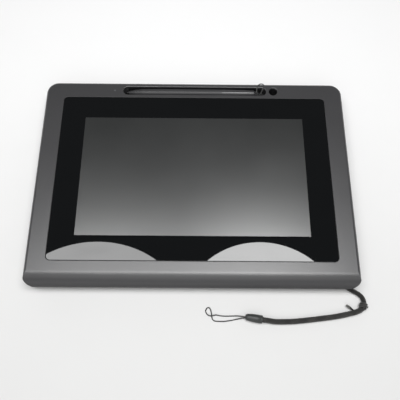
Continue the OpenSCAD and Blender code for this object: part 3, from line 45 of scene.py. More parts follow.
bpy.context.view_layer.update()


# Viewing point
# The tablet lies flat and is looked at from its front edge, high above it.
MM = 0.001
LENS_MM, SENSOR_MM = 42.35, 36.0
NEAREST_SEEN = 10 * MM
VIEW_FROM = Vector((4.833, -179.364, 453.623)) * MM
VIEW_ALONG = Vector((0.0041, 0.3410, -0.9400)).normalized()
VIEW_UP = Vector((-0.0077, 0.9400, 0.3410))
view_right = VIEW_ALONG.cross(VIEW_UP).normalized()
view_up = view_right.cross(VIEW_ALONG)
camera = bpy.data.cameras.new("viewing_point")
camera.lens = LENS_MM
camera.sensor_width = SENSOR_MM
camera.clip_start = NEAREST_SEEN
viewer = bpy.data.objects.new("viewing_point", camera)
turned = Matrix((view_right, view_up, -VIEW_ALONG)).transposed().to_4x4()
viewer.matrix_world = Matrix.Translation(VIEW_FROM) @ turned
scene.collection.objects.link(viewer)
scene.camera = viewer


# Rear cover
# The rear half of the case: one injection moulding in dark ABS with a coarse spark-eroded grain,
# screwed to the front shell from behind.
VALUE, TINT, AIM = "NodeSocketFloat", "NodeSocketColor", "NodeSocketVector"
DUST_TINT = (0.32, 0.31, 0.29, 1)
SPECK_REACH, BARE_SHARE = 0.09, 0.86


def put(tree, kind, values=None, **settings):
    """Adds a node; values set its inputs, as numbers or as the sockets that feed them."""
    made = tree.nodes.new(kind)
    for key, value in settings.items():
        setattr(made, key, value)
    for key, value in (values or {}).items():
        if isinstance(value, bpy.types.NodeSocket):
            tree.links.new(value, made.inputs[key])
        else:
            made.inputs[key].default_value = value
    return made


def reckon(tree, operation, *terms):
    """One step of arithmetic between numbers and sockets."""
    return put(tree, "ShaderNodeMath", dict(enumerate(terms)), operation=operation).outputs[0]


def spread_over(tree, value, low, high, to_low, to_high):
    """Maps a value from one range smoothly to another."""
    return put(tree, "ShaderNodeMapRange", {
        "Value": value, "From Min": low, "From Max": high, "To Min": to_low, "To Max": to_high,
    }, interpolation_type="SMOOTHSTEP").outputs["Result"]


def tinted(tree, share, under, over):
    """One colour laid over another by a mask."""
    return put(tree, "ShaderNodeMix", {0: share, 6: under, 7: over}, data_type="RGBA").outputs[2]


def shader_group(name, takes, gives):
    """An empty node group with named sockets, and its two ends."""
    tree = bpy.data.node_groups.new(name, "ShaderNodeTree")
    for label, kind, value in takes:
        tree.interface.new_socket(name=label, in_out="INPUT", socket_type=kind).default_value = value
    for label, kind in gives:
        tree.interface.new_socket(name=label, in_out="OUTPUT", socket_type=kind)
    return tree, tree.nodes.new("NodeGroupInput").outputs, tree.nodes.new("NodeGroupOutput").inputs


# Grain that a mould leaves on plastic: fine pits, with painted shade darkening the colour down in them, and a
# slight random cloudiness of shade and of gloss.
moulded_skin, given, result = shader_group("moulded_skin", [
    ("Colour", TINT, (0.05, 0.05, 0.05, 1)), ("Shade Spread", VALUE, 0.1), ("Roughness", VALUE, 0.5),
    ("Roughness Spread", VALUE, 0.05), ("Grain per Metre", VALUE, 3000), ("Grain Depth", VALUE, 2e-5),
], [("Colour", TINT), ("Roughness", VALUE), ("Normal", AIM)])
at = put(moulded_skin, "ShaderNodeTexCoord").outputs["Object"]
pits = put(moulded_skin, "ShaderNodeTexNoise", {
    "Vector": at, "Scale": given["Grain per Metre"], "Detail": 2.0, "Roughness": 0.6}).outputs[0]
cloud = put(moulded_skin, "ShaderNodeTexNoise", {"Vector": at, "Scale": 24.0, "Detail": 4.0}).outputs[0]
# The colour follows the pits' height as well as the cloud: painted shade in the pits, over a random cloudy
# tone.
shade = reckon(moulded_skin, "ADD", reckon(moulded_skin, "SUBTRACT", cloud, 0.5),
               reckon(moulded_skin, "SUBTRACT", pits, 0.5))
shade = reckon(moulded_skin, "MULTIPLY_ADD", shade, given["Shade Spread"], 1.0)
moulded_skin.links.new(put(moulded_skin, "ShaderNodeVectorMath", {
    "Vector": given["Colour"], "Scale": shade}, operation="SCALE").outputs["Vector"], result["Colour"])
gloss = reckon(moulded_skin, "MULTIPLY_ADD", reckon(moulded_skin, "SUBTRACT", cloud, 0.5),
               given["Roughness Spread"], given["Roughness"])
moulded_skin.links.new(gloss, result["Roughness"])
moulded_skin.links.new(put(moulded_skin, "ShaderNodeBump", {
    "Height": pits, "Distance": given["Grain Depth"]}).outputs["Normal"], result["Normal"])


# Specks of dust on whatever faces up, a few to the square centimetre.
settled_dust, given, result = shader_group(
    "settled_dust", [("Amount", VALUE, 0.3), ("Specks per Metre", VALUE, 420)], [("Mask", VALUE)])
at = put(settled_dust, "ShaderNodeTexCoord")
cells = put(settled_dust, "ShaderNodeTexVoronoi", {
    "Vector": at.outputs["Object"], "Scale": given["Specks per Metre"]})
chance = put(settled_dust, "ShaderNodeSeparateColor", {"Color": cells.outputs["Color"]}).outputs[0]
speck = reckon(settled_dust, "LESS_THAN", cells.outputs["Distance"], SPECK_REACH)
speck = reckon(settled_dust, "MULTIPLY", speck, reckon(settled_dust, "GREATER_THAN", chance, BARE_SHARE))
upward = put(settled_dust, "ShaderNodeSeparateXYZ", {0: at.outputs["Normal"]}).outputs["Z"]
speck = reckon(settled_dust, "MULTIPLY", speck, spread_over(settled_dust, upward, 0.5, 0.9, 0.0, 1.0))
settled_dust.links.new(reckon(settled_dust, "MULTIPLY", speck, given["Amount"]), result["Mask"])


def shader_of(finish):
    """A finish's own shader."""
    return finish.node_tree.nodes["Principled BSDF"]


def new_finish(name):
    """An empty material with its tree and its shader."""
    finish = bpy.data.materials.new(name)
    finish.use_nodes = True
    return finish, finish.node_tree, shader_of(finish)


def moulded(name, colour, roughness, grain=3000, depth=2e-5, shade=0.16, dust=0.0):
    """A moulded plastic finish."""
    finish, tree, shader = new_finish(name)
    skin = put(tree, "ShaderNodeGroup", node_tree=moulded_skin)
    for label, value in (("Colour", (*colour, 1)), ("Roughness", roughness), ("Shade Spread", shade),
                         ("Grain per Metre", grain), ("Grain Depth", depth)):
        skin.inputs[label].default_value = value
    tint = skin.outputs["Colour"]
    if dust:
        specks = put(tree, "ShaderNodeGroup", node_tree=settled_dust)
        specks.inputs["Amount"].default_value = dust
        tint = tinted(tree, specks.outputs["Mask"], tint, DUST_TINT)
    tree.links.new(tint, shader.inputs["Base Color"])
    tree.links.new(skin.outputs["Roughness"], shader.inputs["Roughness"])
    tree.links.new(skin.outputs["Normal"], shader.inputs["Normal"])
    return finish


def dress(finish, *names):
    """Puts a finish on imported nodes."""
    for name in names:
        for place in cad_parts[name].material_slots:
            place.material = finish


dress(moulded("rear_grain", (0.030, 0.030, 0.032), 0.62, grain=1900, depth=4e-5, dust=0.2), "rear_cover")


# Rubber feet
# Four moulded rubber feet, pushed into round seats at the corners of the rear cover.
foot_rubber = moulded("foot_rubber", (0.012, 0.012, 0.012), 0.85, grain=2600, depth=3e-5)
dress(foot_rubber, "rubber_feet")


# Fold-out legs
# Two flat moulded legs that swing out of pockets in the rear cover, each with a rubber pad at its end,
# on a steel pin driven in from the side.
dress(moulded("leg_grain", (0.034, 0.034, 0.036), 0.55, grain=2400, depth=3e-5), "leg_left", "leg_right")
dress(foot_rubber, "leg_pad_left", "leg_pad_right")

# Fine parallel marks on metal from turning or rolling.
drawn_metal, given, result = shader_group("drawn_metal", [
    ("Colour", TINT, (0.5, 0.5, 0.5, 1)), ("Roughness", VALUE, 0.35), ("Stretch", AIM, (1, 1, 1)),
    ("Marks per Metre", VALUE, 1500)], [("Colour", TINT), ("Roughness", VALUE), ("Normal", AIM)])
at = put(drawn_metal, "ShaderNodeTexCoord").outputs["Object"]
drawn = put(drawn_metal, "ShaderNodeVectorMath", {
    0: at, 1: given["Stretch"]}, operation="MULTIPLY").outputs[0]
marks = put(drawn_metal, "ShaderNodeTexNoise", {
    "Vector": drawn, "Scale": given["Marks per Metre"], "Detail": 3.0}).outputs[0]
stain = put(drawn_metal, "ShaderNodeTexNoise", {"Vector": at, "Scale": 60.0, "Detail": 3.0}).outputs[0]
shade = spread_over(drawn_metal, reckon(drawn_metal, "ADD", marks, stain), 0.6, 1.4, 0.82, 1.08)
drawn_metal.links.new(put(drawn_metal, "ShaderNodeVectorMath", {
    "Vector": given["Colour"], "Scale": shade}, operation="SCALE").outputs["Vector"], result["Colour"])
drawn_metal.links.new(reckon(drawn_metal, "MULTIPLY_ADD", reckon(drawn_metal, "SUBTRACT", stain, 0.5), 0.3,
                             given["Roughness"]), result["Roughness"])
drawn_metal.links.new(put(drawn_metal, "ShaderNodeBump", {
    "Height": marks, "Distance": 6e-6}).outputs["Normal"], result["Normal"])


def metal(name, colour, roughness, stretch=(1, 1, 1), marks=1500):
    """A bare metal finish."""
    finish, tree, shader = new_finish(name)
    skin = put(tree, "ShaderNodeGroup", node_tree=drawn_metal)
    for label, value in (("Colour", (*colour, 1)), ("Roughness", roughness), ("Stretch", stretch),
                         ("Marks per Metre", marks)):
        skin.inputs[label].default_value = value
    shader.inputs["Metallic"].default_value = 1.0
    for label, socket in (("Colour", "Base Color"), ("Roughness", "Roughness"), ("Normal", "Normal")):
        tree.links.new(skin.outputs[label], shader.inputs[socket])
    return finish


screw_steel = metal("turned_steel", (0.45, 0.45, 0.46), 0.32, stretch=(0.3, 0.3, 3))
dress(screw_steel, "leg_pins")


# Arm mount inserts
# Four knurled brass inserts, pressed hot into posts of the rear cover, threaded for an arm's plate.
dress(metal("insert_brass", (0.62, 0.42, 0.15), 0.34, stretch=(3, 3, 0.4)), "vesa_inserts")


# Case screws
# Turned steel screws that hold the rear cover to the front shell.
dress(screw_steel, "cover_screws")


# Chassis and screen tray
# A pressed alloy sheet with beads carries the boards; steel sheet makes the panel's tray, its front frame
# and the shield behind the pen sensor.
dress(metal("chassis_alloy", (0.55, 0.56, 0.57), 0.42, stretch=(0.05, 1, 1), marks=2200), "chassis")
dress(metal("rolled_steel", (0.50, 0.51, 0.52), 0.36, stretch=(0.04, 1, 1), marks=2600),
      "lcd_rear_tray", "lcd_front_frame", "shield_sheet")
dress(screw_steel, "chassis_screws")


# Panel
# The liquid crystal cell with its matt polariser, over a clear light guide sheet with printed dots.
dress(moulded("polariser", (0.030, 0.034, 0.033), 0.42, grain=9000, depth=3e-6, shade=0.06), "lcd_cell")
guide_finish, tree, shader = new_finish("light_guide")
at = put(tree, "ShaderNodeTexCoord").outputs["Object"]
dots = put(tree, "ShaderNodeTexVoronoi", {
    "Vector": at, "Scale": 700.0, "Randomness": 0.2}).outputs["Distance"]
dot = reckon(tree, "LESS_THAN", dots, 0.28)
tree.links.new(tinted(tree, dot, (0.62, 0.65, 0.66, 1), (0.85, 0.86, 0.85, 1)), shader.inputs["Base Color"])
tree.links.new(spread_over(tree, dot, 0.0, 1.0, 0.12, 0.55), shader.inputs["Roughness"])
dress(guide_finish, "backlight_guide")


# Boards
# Glass fibre boards under green solder resist, with copper tracks below it and tinned pads: the pen sensor
# behind the panel, the main board on the chassis and the port board at the upper edge.
board_finish, tree, shader = new_finish("solder_resist")
at = put(tree, "ShaderNodeTexCoord").outputs["Object"]
tracks = put(tree, "ShaderNodeTexVoronoi", {"Vector": at, "Scale": 260.0}, feature="F1", distance="MANHATTAN")
track = reckon(tree, "LESS_THAN", reckon(tree, "FRACT", reckon(
    tree, "MULTIPLY", tracks.outputs["Distance"], 5.0)), 0.36)
pads = put(tree, "ShaderNodeTexVoronoi", {
    "Vector": at, "Scale": 420.0, "Randomness": 0.35}).outputs["Distance"]
pad = reckon(tree, "LESS_THAN", pads, 0.16)
resist = tinted(tree, track, (0.008, 0.075, 0.028, 1), (0.014, 0.13, 0.05, 1))
tree.links.new(tinted(tree, pad, resist, (0.55, 0.53, 0.48, 1)), shader.inputs["Base Color"])
tree.links.new(pad, shader.inputs["Metallic"])
tree.links.new(spread_over(tree, pad, 0.0, 1.0, 0.24, 0.38), shader.inputs["Roughness"])
tree.links.new(put(tree, "ShaderNodeBump", {"Height": track, "Distance": 2e-5}).outputs[0],
               shader.inputs["Normal"])
dress(board_finish, "sensor_board", "main_board", "port_board")
dress(moulded("chip_epoxy", (0.016, 0.016, 0.018), 0.48, grain=5000, depth=1e-5), "board_chips")
dress(screw_steel, "board_screws", "port_screws")


# Ribbons
# Flat flexible cables: copper tracks between amber polyimide films, bent at the boards and pushed into
# sockets. One track lies to the millimetre.
TRACKS_PER_METRE, TRACK_SHARE = 1000.0, 0.55
ribbon_finish, tree, shader = new_finish("polyimide_film")
at = put(tree, "ShaderNodeTexCoord").outputs["Object"]
across = put(tree, "ShaderNodeSeparateXYZ", {0: at}).outputs["X"]
lane = reckon(tree, "FRACT", reckon(tree, "MULTIPLY", across, TRACKS_PER_METRE))
lane = reckon(tree, "LESS_THAN", lane, TRACK_SHARE)
tree.links.new(tinted(tree, lane, (0.42, 0.17, 0.02, 1), (0.62, 0.30, 0.06, 1)), shader.inputs["Base Color"])
tree.links.new(spread_over(tree, lane, 0.0, 1.0, 0.30, 0.22), shader.inputs["Roughness"])
tree.links.new(put(tree, "ShaderNodeBump", {"Height": lane, "Distance": 3e-5}).outputs[0],
               shader.inputs["Normal"])
dress(ribbon_finish, "lcd_ribbon", "sensor_ribbon", "port_ribbon")


# Ports, switch and lock plate
# A folded steel socket and a small push switch soldered to the port board, the button in front of the switch,
# the status lamp and the steel plate behind the lock slot.
dress(metal("socket_shell", (0.58, 0.58, 0.58), 0.28, stretch=(1, 0.05, 1)), "usb_socket")
dress(moulded("switch_body", (0.55, 0.55, 0.52), 0.45, grain=4000, depth=1e-5), "power_switch")
dress(moulded("button_satin", (0.018, 0.018, 0.019), 0.42, grain=3600, depth=1e-5), "power_button")
dress(metal("lock_steel", (0.42, 0.42, 0.43), 0.38, stretch=(1, 0.05, 0.3)), "lock_plate")


# Front shell
# The charcoal front half of the case: one ABS moulding with a large radius rolled over its lower edge. Its
# mould was satin where the face lies flat round the screen, and coarser down the roll and the outer walls.
SATIN_DOWN_TO, COARSE_DOWN_FROM, COARSER_BY = 0.3 * MM, 10 * MM, 0.5
shell_finish = moulded("front_grain", (0.030, 0.0297, 0.032), 0.36, grain=2800, depth=1.2e-5, shade=0.14,
                       dust=0.25)
tree, shader = shell_finish.node_tree, shader_of(shell_finish)
shell_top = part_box("front_bezel")[1].z
height = put(tree, "ShaderNodeSeparateXYZ", {
    0: put(tree, "ShaderNodeTexCoord").outputs["Object"]}).outputs["Z"]
coarser = spread_over(tree, height, shell_top - COARSE_DOWN_FROM, shell_top - SATIN_DOWN_TO, COARSER_BY, 0.0)
tree.links.new(reckon(tree, "ADD", shader.inputs["Roughness"].links[0].from_socket, coarser),
               shader.inputs["Roughness"])
shader.inputs["Specular IOR Level"].default_value = 1.0
dress(shell_finish, "front_bezel")


# Cover glass
# One sheet of hard glass with ground edges, printed black from behind as a frame round the picture area and
# bonded to the shell with foam tape. It is opaque here, with the panel's grey in its window. A gasket keeps
# dust out between it and the panel.
GLASS_R, GLASS_EDGE = 4.0 * MM, 0.35 * MM
TOUCHING = 0.001 * MM
PICTURE = (222.7 * MM, 125.3 * MM)
glass_low, glass_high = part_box("cover_glass")
glass_mid, glass_size = (glass_low + glass_high) / 2, glass_high - glass_low

# Faint smears and specks on a wiped surface.
wiped_glass, given, result = shader_group("wiped_glass", [("Depth", VALUE, 0.08)], [("Coat", VALUE)])
at = put(wiped_glass, "ShaderNodeTexCoord").outputs["Object"]
swept = put(wiped_glass, "ShaderNodeVectorMath", {0: at, 1: (1.0, 2.6, 1.0)}, operation="MULTIPLY").outputs[0]
smear = put(wiped_glass, "ShaderNodeTexNoise", {"Vector": swept, "Scale": 22.0, "Detail": 1.0}).outputs[0]
smear = spread_over(wiped_glass, smear, 0.35, 0.8, 0.0, 1.0)
wiped_glass.links.new(reckon(wiped_glass, "SUBTRACT", 1.0, reckon(
    wiped_glass, "MULTIPLY", smear, given["Depth"])), result["Coat"])


def glazed(name, colour, roughness, base_gloss, grain, depth):
    """What shows through the glass, under the glass's own polished face."""
    finish = moulded(name, colour, roughness, grain=grain, depth=depth, shade=0.06)
    nodes, face = finish.node_tree, shader_of(finish)
    face.inputs["Specular IOR Level"].default_value = base_gloss
    face.inputs["IOR"].default_value = 1.68
    face.inputs["Coat Roughness"].default_value = 0.012
    face.inputs["Coat IOR"].default_value = 1.6
    wiped = put(nodes, "ShaderNodeGroup", node_tree=wiped_glass)
    nodes.links.new(wiped.outputs["Coat"], face.inputs["Coat Weight"])
    return finish


def finished(name, shell, finishes, slot, body, *nodes):
    """Makes a piece of a bmesh, in its place on its body, and hides the imported nodes it stands in for."""
    for face in shell.faces:
        face.smooth = True
    mesh = bpy.data.meshes.new(name)
    shell.to_mesh(mesh)
    shell.free()
    for finish in finishes:
        mesh.materials.append(finish)
    piece = bpy.data.objects.new(name, mesh)
    scene.collection.objects.link(piece)
    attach(piece, body)
    if nodes:
        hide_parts(*nodes)
    return piece


sheet = bmesh.new()
bmesh.ops.create_cube(sheet, size=1.0,
                      matrix=Matrix.Translation(glass_mid) @ Matrix.Diagonal((*glass_size, 1)))
upright = [e for e in sheet.edges if abs(e.verts[0].co.z - e.verts[1].co.z) > glass_size.z / 2]
bmesh.ops.bevel(sheet, geom=upright, offset=GLASS_R, segments=10, profile=0.5, affect="EDGES", material=-1)
rim = [e for e in sheet.edges if all(abs(v.co.z - glass_high.z) < TOUCHING for v in e.verts)]
bmesh.ops.bevel(sheet, geom=rim, offset=GLASS_EDGE, segments=3, profile=0.5, affect="EDGES", material=-1)
for axis, half in enumerate(PICTURE):
    for side in (-1, 1):
        cut = glass_mid.copy()
        cut[axis] += side * half / 2
        bmesh.ops.bisect_plane(sheet, geom=sheet.verts[:] + sheet.edges[:] + sheet.faces[:], plane_co=cut,
                               plane_no=Vector((axis == 0, axis == 1, 0)), dist=TOUCHING / 10)
for face in sheet.faces:
    off = face.calc_center_median() - glass_mid
    inside = abs(off.x) < PICTURE[0] / 2 and abs(off.y) < PICTURE[1] / 2
    face.material_index = 1 if inside and face.normal.z > 0.9 else 0
border_finish = glazed("printed_border", (0.0035, 0.004, 0.0045), 0.4, 0.0, 6000, 1e-7)
picture_finish = glazed("picture_window", (0.003, 0.0045, 0.0043), 0.29, 1.0, 9000, 1e-7)
glass = finished("cover_glass_sheet", sheet, (border_finish, picture_finish), "cover_glass", "tablet",
                 "cover_glass")
for face in glass.data.polygons:
    face.use_smooth = abs(face.normal.z) < 0.99
dress(moulded("foam_tape", (0.016, 0.016, 0.016), 0.9, grain=1400, depth=6e-5), "glass_tape", "dust_gasket")


# Pen tray, pen well and status light
# A satin black trough dropped into the upper bezel, with a blind round well beside it where the pen stands,
# and a milky pipe that brings the lamp's light to the surface.
tray_black = moulded("tray_black", (0.011, 0.011, 0.012), 0.42, grain=3200, depth=2e-5)
dress(tray_black, "pen_tray", "pen_well")
pipe_finish = moulded("light_pipe", (0.17, 0.175, 0.18), 0.25, grain=1200, depth=2e-6)
shader_of(pipe_finish).inputs["Coat Weight"].default_value = 0.3
dress(pipe_finish, "light_pipe", "power_led")


# Pen
# A turned and moulded pen: soft matt grip, lacquered rear barrel and tail cap with an eye, a hard nib on a
# sprung shaft, a rocker switch in the grip and a wound coil on a ferrite rod inside.
dress(moulded("pen_grip_soft", (0.028, 0.028, 0.030), 0.5, grain=4200, depth=1.2e-5), "pen_grip")
barrel_finish = moulded("pen_barrel_gloss", (0.028, 0.028, 0.030), 0.36, grain=2600, depth=3e-6)
shader_of(barrel_finish).inputs["Coat Weight"].default_value = 0.35
shader_of(barrel_finish).inputs["Coat Roughness"].default_value = 0.2
dress(barrel_finish, "pen_barrel", "pen_tail")
dress(moulded("pen_nib_hard", (0.012, 0.012, 0.012), 0.45, grain=5000, depth=1e-5), "pen_nib")
dress(moulded("pen_rocker", (0.016, 0.016, 0.017), 0.4, grain=4000, depth=1e-5), "pen_switch")
dress(metal("coil_copper", (0.50, 0.24, 0.10), 0.35, stretch=(3, 0.2, 0.2), marks=2500), "pen_core")


# Pen loop
# A short loop of thin three-ply string, threaded through the lug of the pen's tail cap and laid over the
# upper edge of the case.
STRING_D, STRING_SIDES, STRING_STEP = 1.1 * MM, 18, 0.25 * MM
PLIES, PLY_LAY, PLY_RISE = 3, 2.6 * MM, 0.20
LOOP_POINTS = [
    (65.5, 97.4, 23.1), (65.5, 97.5, 25.3), (65.6, 98.5, 27.1), (65.9, 100.4, 28), (66.5, 102.4, 28),
    (67.5, 104.3, 27.9), (69, 105.9, 27.6), (70.9, 106.6, 27.3), (72.6, 105.8, 27.6), (73.3, 104.1, 27.9),
    (73.1, 102.2, 28), (72.3, 100.2, 27.4), (71.3, 98.6, 25.8), (70.6, 97.7, 23.6), (70.2, 97.4, 21.4),
    (69.6, 97.4, 19.7), (67.9, 97.4, 18.8), (66.2, 97.4, 19.6), (65.5, 97.4, 21.2), (65.5, 97.4, 22.5)]


def smooth_route(points, step):
    """A smooth line through a cord's points, given in millimetres, with its own points a step apart."""
    points = [Vector(p) * MM for p in points]
    last = len(points) - 1
    line = []
    for i in range(last):
        before, start = points[max(i - 1, 0)], points[i]
        end, after = points[i + 1], points[min(i + 2, last)]
        parts = max(2, round((end - start).length / step))
        for k in range(parts):
            t = k / parts
            bend = 2 * before - 5 * start + 4 * end - after
            swing = 3 * start - before - 3 * end + after
            line.append(0.5 * (2 * start + (end - before) * t + bend * t * t + swing * t ** 3))
    return line + [points[last]]


def laid_tube(line, around, radius_at):
    """A closed tube along a line; radius_at(angle, distance along) gives its surface, and how high each point
    of it stands is kept as its relief."""
    tube = bmesh.new()
    relief = tube.verts.layers.float.new("relief")
    bmesh.ops.create_grid(tube, x_segments=around, y_segments=len(line) - 1, size=1.0)
    frames, side, gone = [], Vector((0, 0, 1)), 0.0
    for i, point in enumerate(line):
        along = (line[min(i + 1, len(line) - 1)] - line[max(i - 1, 0)]).normalized()
        side = (side - side.dot(along) * along).normalized()
        gone += (point - line[max(i - 1, 0)]).length
        frames.append((point, side.copy(), along.cross(side), gone))
    for vert in tube.verts:
        angle = math.pi * (vert.co.x + 1)
        point, right, up, gone = frames[round((vert.co.y + 1) / 2 * (len(line) - 1))]
        reach = radius_at(angle % (2 * math.pi), gone)
        vert.co = point + reach * (math.cos(angle) * right + math.sin(angle) * up)
        vert[relief] = reach
    low, high = (pick(vert[relief] for vert in tube.verts) for pick in (min, max))
    for vert in tube.verts:
        vert[relief] = (vert[relief] - low) / (high - low)
    bmesh.ops.remove_doubles(tube, verts=tube.verts, dist=TOUCHING)
    bmesh.ops.holes_fill(tube, edges=[e for e in tube.edges if e.is_boundary])
    bmesh.ops.recalc_face_normals(tube, faces=tube.faces)
    return tube


def string_surface(angle, gone):
    """Three plies twisted round each other."""
    lobe = abs(math.cos(PLIES / 2 * (angle - 2 * math.pi * gone / PLY_LAY / PLIES)))
    return STRING_D / 2 * (1 - PLY_RISE + PLY_RISE * lobe ** 0.8)


# Fibres of a yarn: short streaks of painted highlight, as if stray hairs caught the light, and painted shade
# that darkens the colour in the grooves between strands.
yarn, given, result = shader_group("yarn", [
    ("Colour", TINT, (0.02, 0.02, 0.02, 1)), ("Painted Glint Colour", TINT, (0.05, 0.05, 0.05, 1)),
    ("Relief", VALUE, 1.0), ("Fibres per Metre", VALUE, 6000)], [("Colour", TINT), ("Normal", AIM)])
at = put(yarn, "ShaderNodeTexCoord").outputs["Object"]
fibre = put(yarn, "ShaderNodeTexNoise", {
    "Vector": at, "Scale": given["Fibres per Metre"], "Detail": 3.0, "Distortion": 1.2}).outputs[0]
faded = put(yarn, "ShaderNodeTexNoise", {"Vector": at, "Scale": 140.0, "Detail": 2.0}).outputs[0]
streak = reckon(yarn, "MULTIPLY", fibre, reckon(yarn, "ADD", faded, 0.5))
# Painted highlight: the lighter colour laid on in random streaks.
painted_glint = spread_over(yarn, streak, 0.45, 0.75, 0.0, 1.0)
# Painted shade: the colour darkened where the surface lies low between strands.
painted_groove_shade = spread_over(yarn, given["Relief"], 0.3, 1.0, 0.3, 1.0)
yarn.links.new(put(yarn, "ShaderNodeVectorMath", {
    "Vector": tinted(yarn, painted_glint, given["Colour"], given["Painted Glint Colour"]), "Scale": painted_groove_shade},
    operation="SCALE").outputs["Vector"], result["Colour"])
yarn.links.new(put(yarn, "ShaderNodeBump", {"Height": fibre, "Distance": 6e-5}).outputs[0], result["Normal"])


def spun(name, colour, glint_colour, sheen):
    """A textile finish."""
    finish, nodes, face = new_finish(name)
    skin = put(nodes, "ShaderNodeGroup", node_tree=yarn)
    skin.inputs["Colour"].default_value = (*colour, 1)
    skin.inputs["Painted Glint Colour"].default_value = (*glint_colour, 1)
    stands = put(nodes, "ShaderNodeAttribute", attribute_name="relief").outputs["Fac"]
    nodes.links.new(stands, skin.inputs["Relief"])
    face.inputs["Roughness"].default_value = 0.85
    face.inputs["Sheen Weight"].default_value = sheen
    face.inputs["Sheen Roughness"].default_value = 0.5
    nodes.links.new(skin.outputs["Colour"], face.inputs["Base Color"])
    nodes.links.new(skin.outputs["Normal"], face.inputs["Normal"])
    return finish


# Its second, lighter colour is painted highlight on the fibres; its grooves get painted shade.
string_grey = spun("string_grey", (0.05, 0.05, 0.05), (0.13, 0.13, 0.125), 0.2)
loop_line = smooth_route(LOOP_POINTS, STRING_STEP)
loop = finished("pen_loop_string", laid_tube(loop_line, STRING_SIDES, string_surface), (string_grey,),
                "string_grey", "pen", "pen_loop")


# Tether pin and eye
# A steel pin across a pocket behind the lower right corner, and the moulded eye on it that grips the cord's
# end.
dress(screw_steel, "tether_pin")
dress(moulded("eye_moulding", (0.02, 0.02, 0.02), 0.5, grain=3000, depth=1.5e-5), "tether_eye")


# Tether cord
# A soft black braided cord, gripped by the eye behind the corner. It drops to the table and runs along the
# front. Between the eye and the knot it is drawn a little thinner.
CORD_D, CORD_SIDES, CORD_STEP = 5.2 * MM, 64, 0.3 * MM
STRANDS, GROOVE, STRAND_RISE, CROSSING_DIP = 7, 0.77, 0.22, 0.38
SLACK, SLACK_PER_METRE = 0.05, 420
DRAWN_TO, DRAWN_LENGTH, DRAWN_EASE = 0.86, 24 * MM, 16 * MM
CORD_POINTS = [
    (141, -100, 5.2), (144.3, -102.3, 5.2), (148, -104.6, 4.7), (152, -106.7, 3.8), (155.6, -108.4, 3),
    (158.7, -110.3, 2.8), (161.2, -113, 2.7), (162.4, -116.7, 2.7), (161.9, -120.5, 2.7),
    (159.8, -123.8, 2.7), (156.9, -125.6, 2.7), (152.6, -127.1, 2.7), (147, -128.5, 2.7),
    (140.5, -129.9, 2.7), (133, -131.2, 2.7), (124, -132.4, 2.7), (110, -134.1, 2.7), (95, -135.6, 2.7),
    (80, -136, 2.8), (72, -135.2, 3.3), (65.5, -134.2, 3.9)]


def braid_surface(angle, gone):
    """Strands that wind both ways and pass over and under each other."""
    turn, climb = STRANDS * angle / (2 * math.pi), STRANDS * gone / (math.pi * CORD_D)
    crossing = math.cos(STRANDS * angle)
    heights = []
    for place, lift in ((turn + climb, crossing), (turn - climb, -crossing)):
        off_middle = 2 * (place - round(place))
        round_top = math.sqrt(max(0.0, 1 - off_middle * off_middle))
        heights.append(round_top * (1 - CROSSING_DIP + CROSSING_DIP * lift))
    slack = SLACK * noise.noise(Vector((math.cos(angle), math.sin(angle), gone * SLACK_PER_METRE)))
    drawn = DRAWN_TO + (1 - DRAWN_TO) * min(1.0, max(0.0, gone - DRAWN_LENGTH) / DRAWN_EASE)
    return CORD_D / 2 * (GROOVE + STRAND_RISE * max(heights) + slack) * drawn


# Its second, lighter colour is painted highlight on the fibres; its grooves get painted shade.
cord_black = spun("cord_braid", (0.015, 0.0145, 0.0135), (0.075, 0.071, 0.065), 0.3)
cord_line = smooth_route(CORD_POINTS, CORD_STEP)
cord = finished("tether_cord_braid", laid_tube(cord_line, CORD_SIDES, braid_surface), (cord_black,),
                "cord_braid", "tablet", "tether_cord")


# Tether knot
# The cord's whipping at the bend: thin cord wound round it, with its two cut ends left standing off.
KNOT_AT, KNOT_TURN = Vector((161.1, -120.9, 3.9)) * MM, math.radians(-112)
KNOT_R, WRAP_R, WRAPS, WRAP_PITCH = 3.8 * MM, 1.3 * MM, 2.4, 1.9 * MM
STEPS_PER_WRAP, WRAP_RELIEF = 36, 0.8
TAILS = [((152, -125.4, 3.2), 142, 8.2), ((162, -120.6, 3.4), -27, 4)]
TAIL_R, TAIL_TIP_R = 0.75 * MM, 1.1 * MM
TAIL_PARTS, TAIL_SIDES = 16, 14
TAIL_PLIES, TAIL_TWIST, TAIL_PLY_RISE = 3, 900, 0.14
FRAY_LENGTH, FRAYED_FROM = 5 * MM, 0.55


def lying(point, turn):
    """Lays a shape that was made along Z down on the table, turned about the upright."""
    flat = Matrix.Rotation(math.radians(90), 4, "Y")
    return Matrix.Translation(point) @ Matrix.Rotation(turn, 4, "Z") @ flat


knot = bmesh.new()
relief = knot.verts.layers.float.new("relief")
steps = round(STEPS_PER_WRAP * WRAPS)
rise = WRAP_PITCH * WRAPS
start = Matrix.Translation((KNOT_R - WRAP_R, 0, -rise / 2)) @ Matrix.Rotation(math.radians(90), 4, "X")
bmesh.ops.create_circle(knot, segments=16, radius=WRAP_R, matrix=start, cap_ends=True)
bmesh.ops.spin(knot, geom=knot.verts[:] + knot.edges[:], cent=(0, 0, 0), axis=(0, 0, 1),
               dvec=(0, 0, rise / steps), angle=2 * math.pi * WRAPS, steps=steps, use_merge=False)
bmesh.ops.holes_fill(knot, edges=[e for e in knot.edges if e.is_boundary])
bmesh.ops.transform(knot, matrix=lying(KNOT_AT, KNOT_TURN), verts=knot.verts)
# One even relief for the wraps, so the yarn's painted groove shade darkens them a little all over.
for vert in knot.verts:
    vert[relief] = WRAP_RELIEF


def tail_surface(angle, gone):
    """A cut end of thin cord that frays open towards its tip."""
    opened = min(1.0, gone / FRAY_LENGTH)
    ply = 1 + TAIL_PLY_RISE * math.sin(TAIL_PLIES * angle + TAIL_TWIST * gone)
    return (TAIL_R + (TAIL_TIP_R - TAIL_R) * opened) * ply


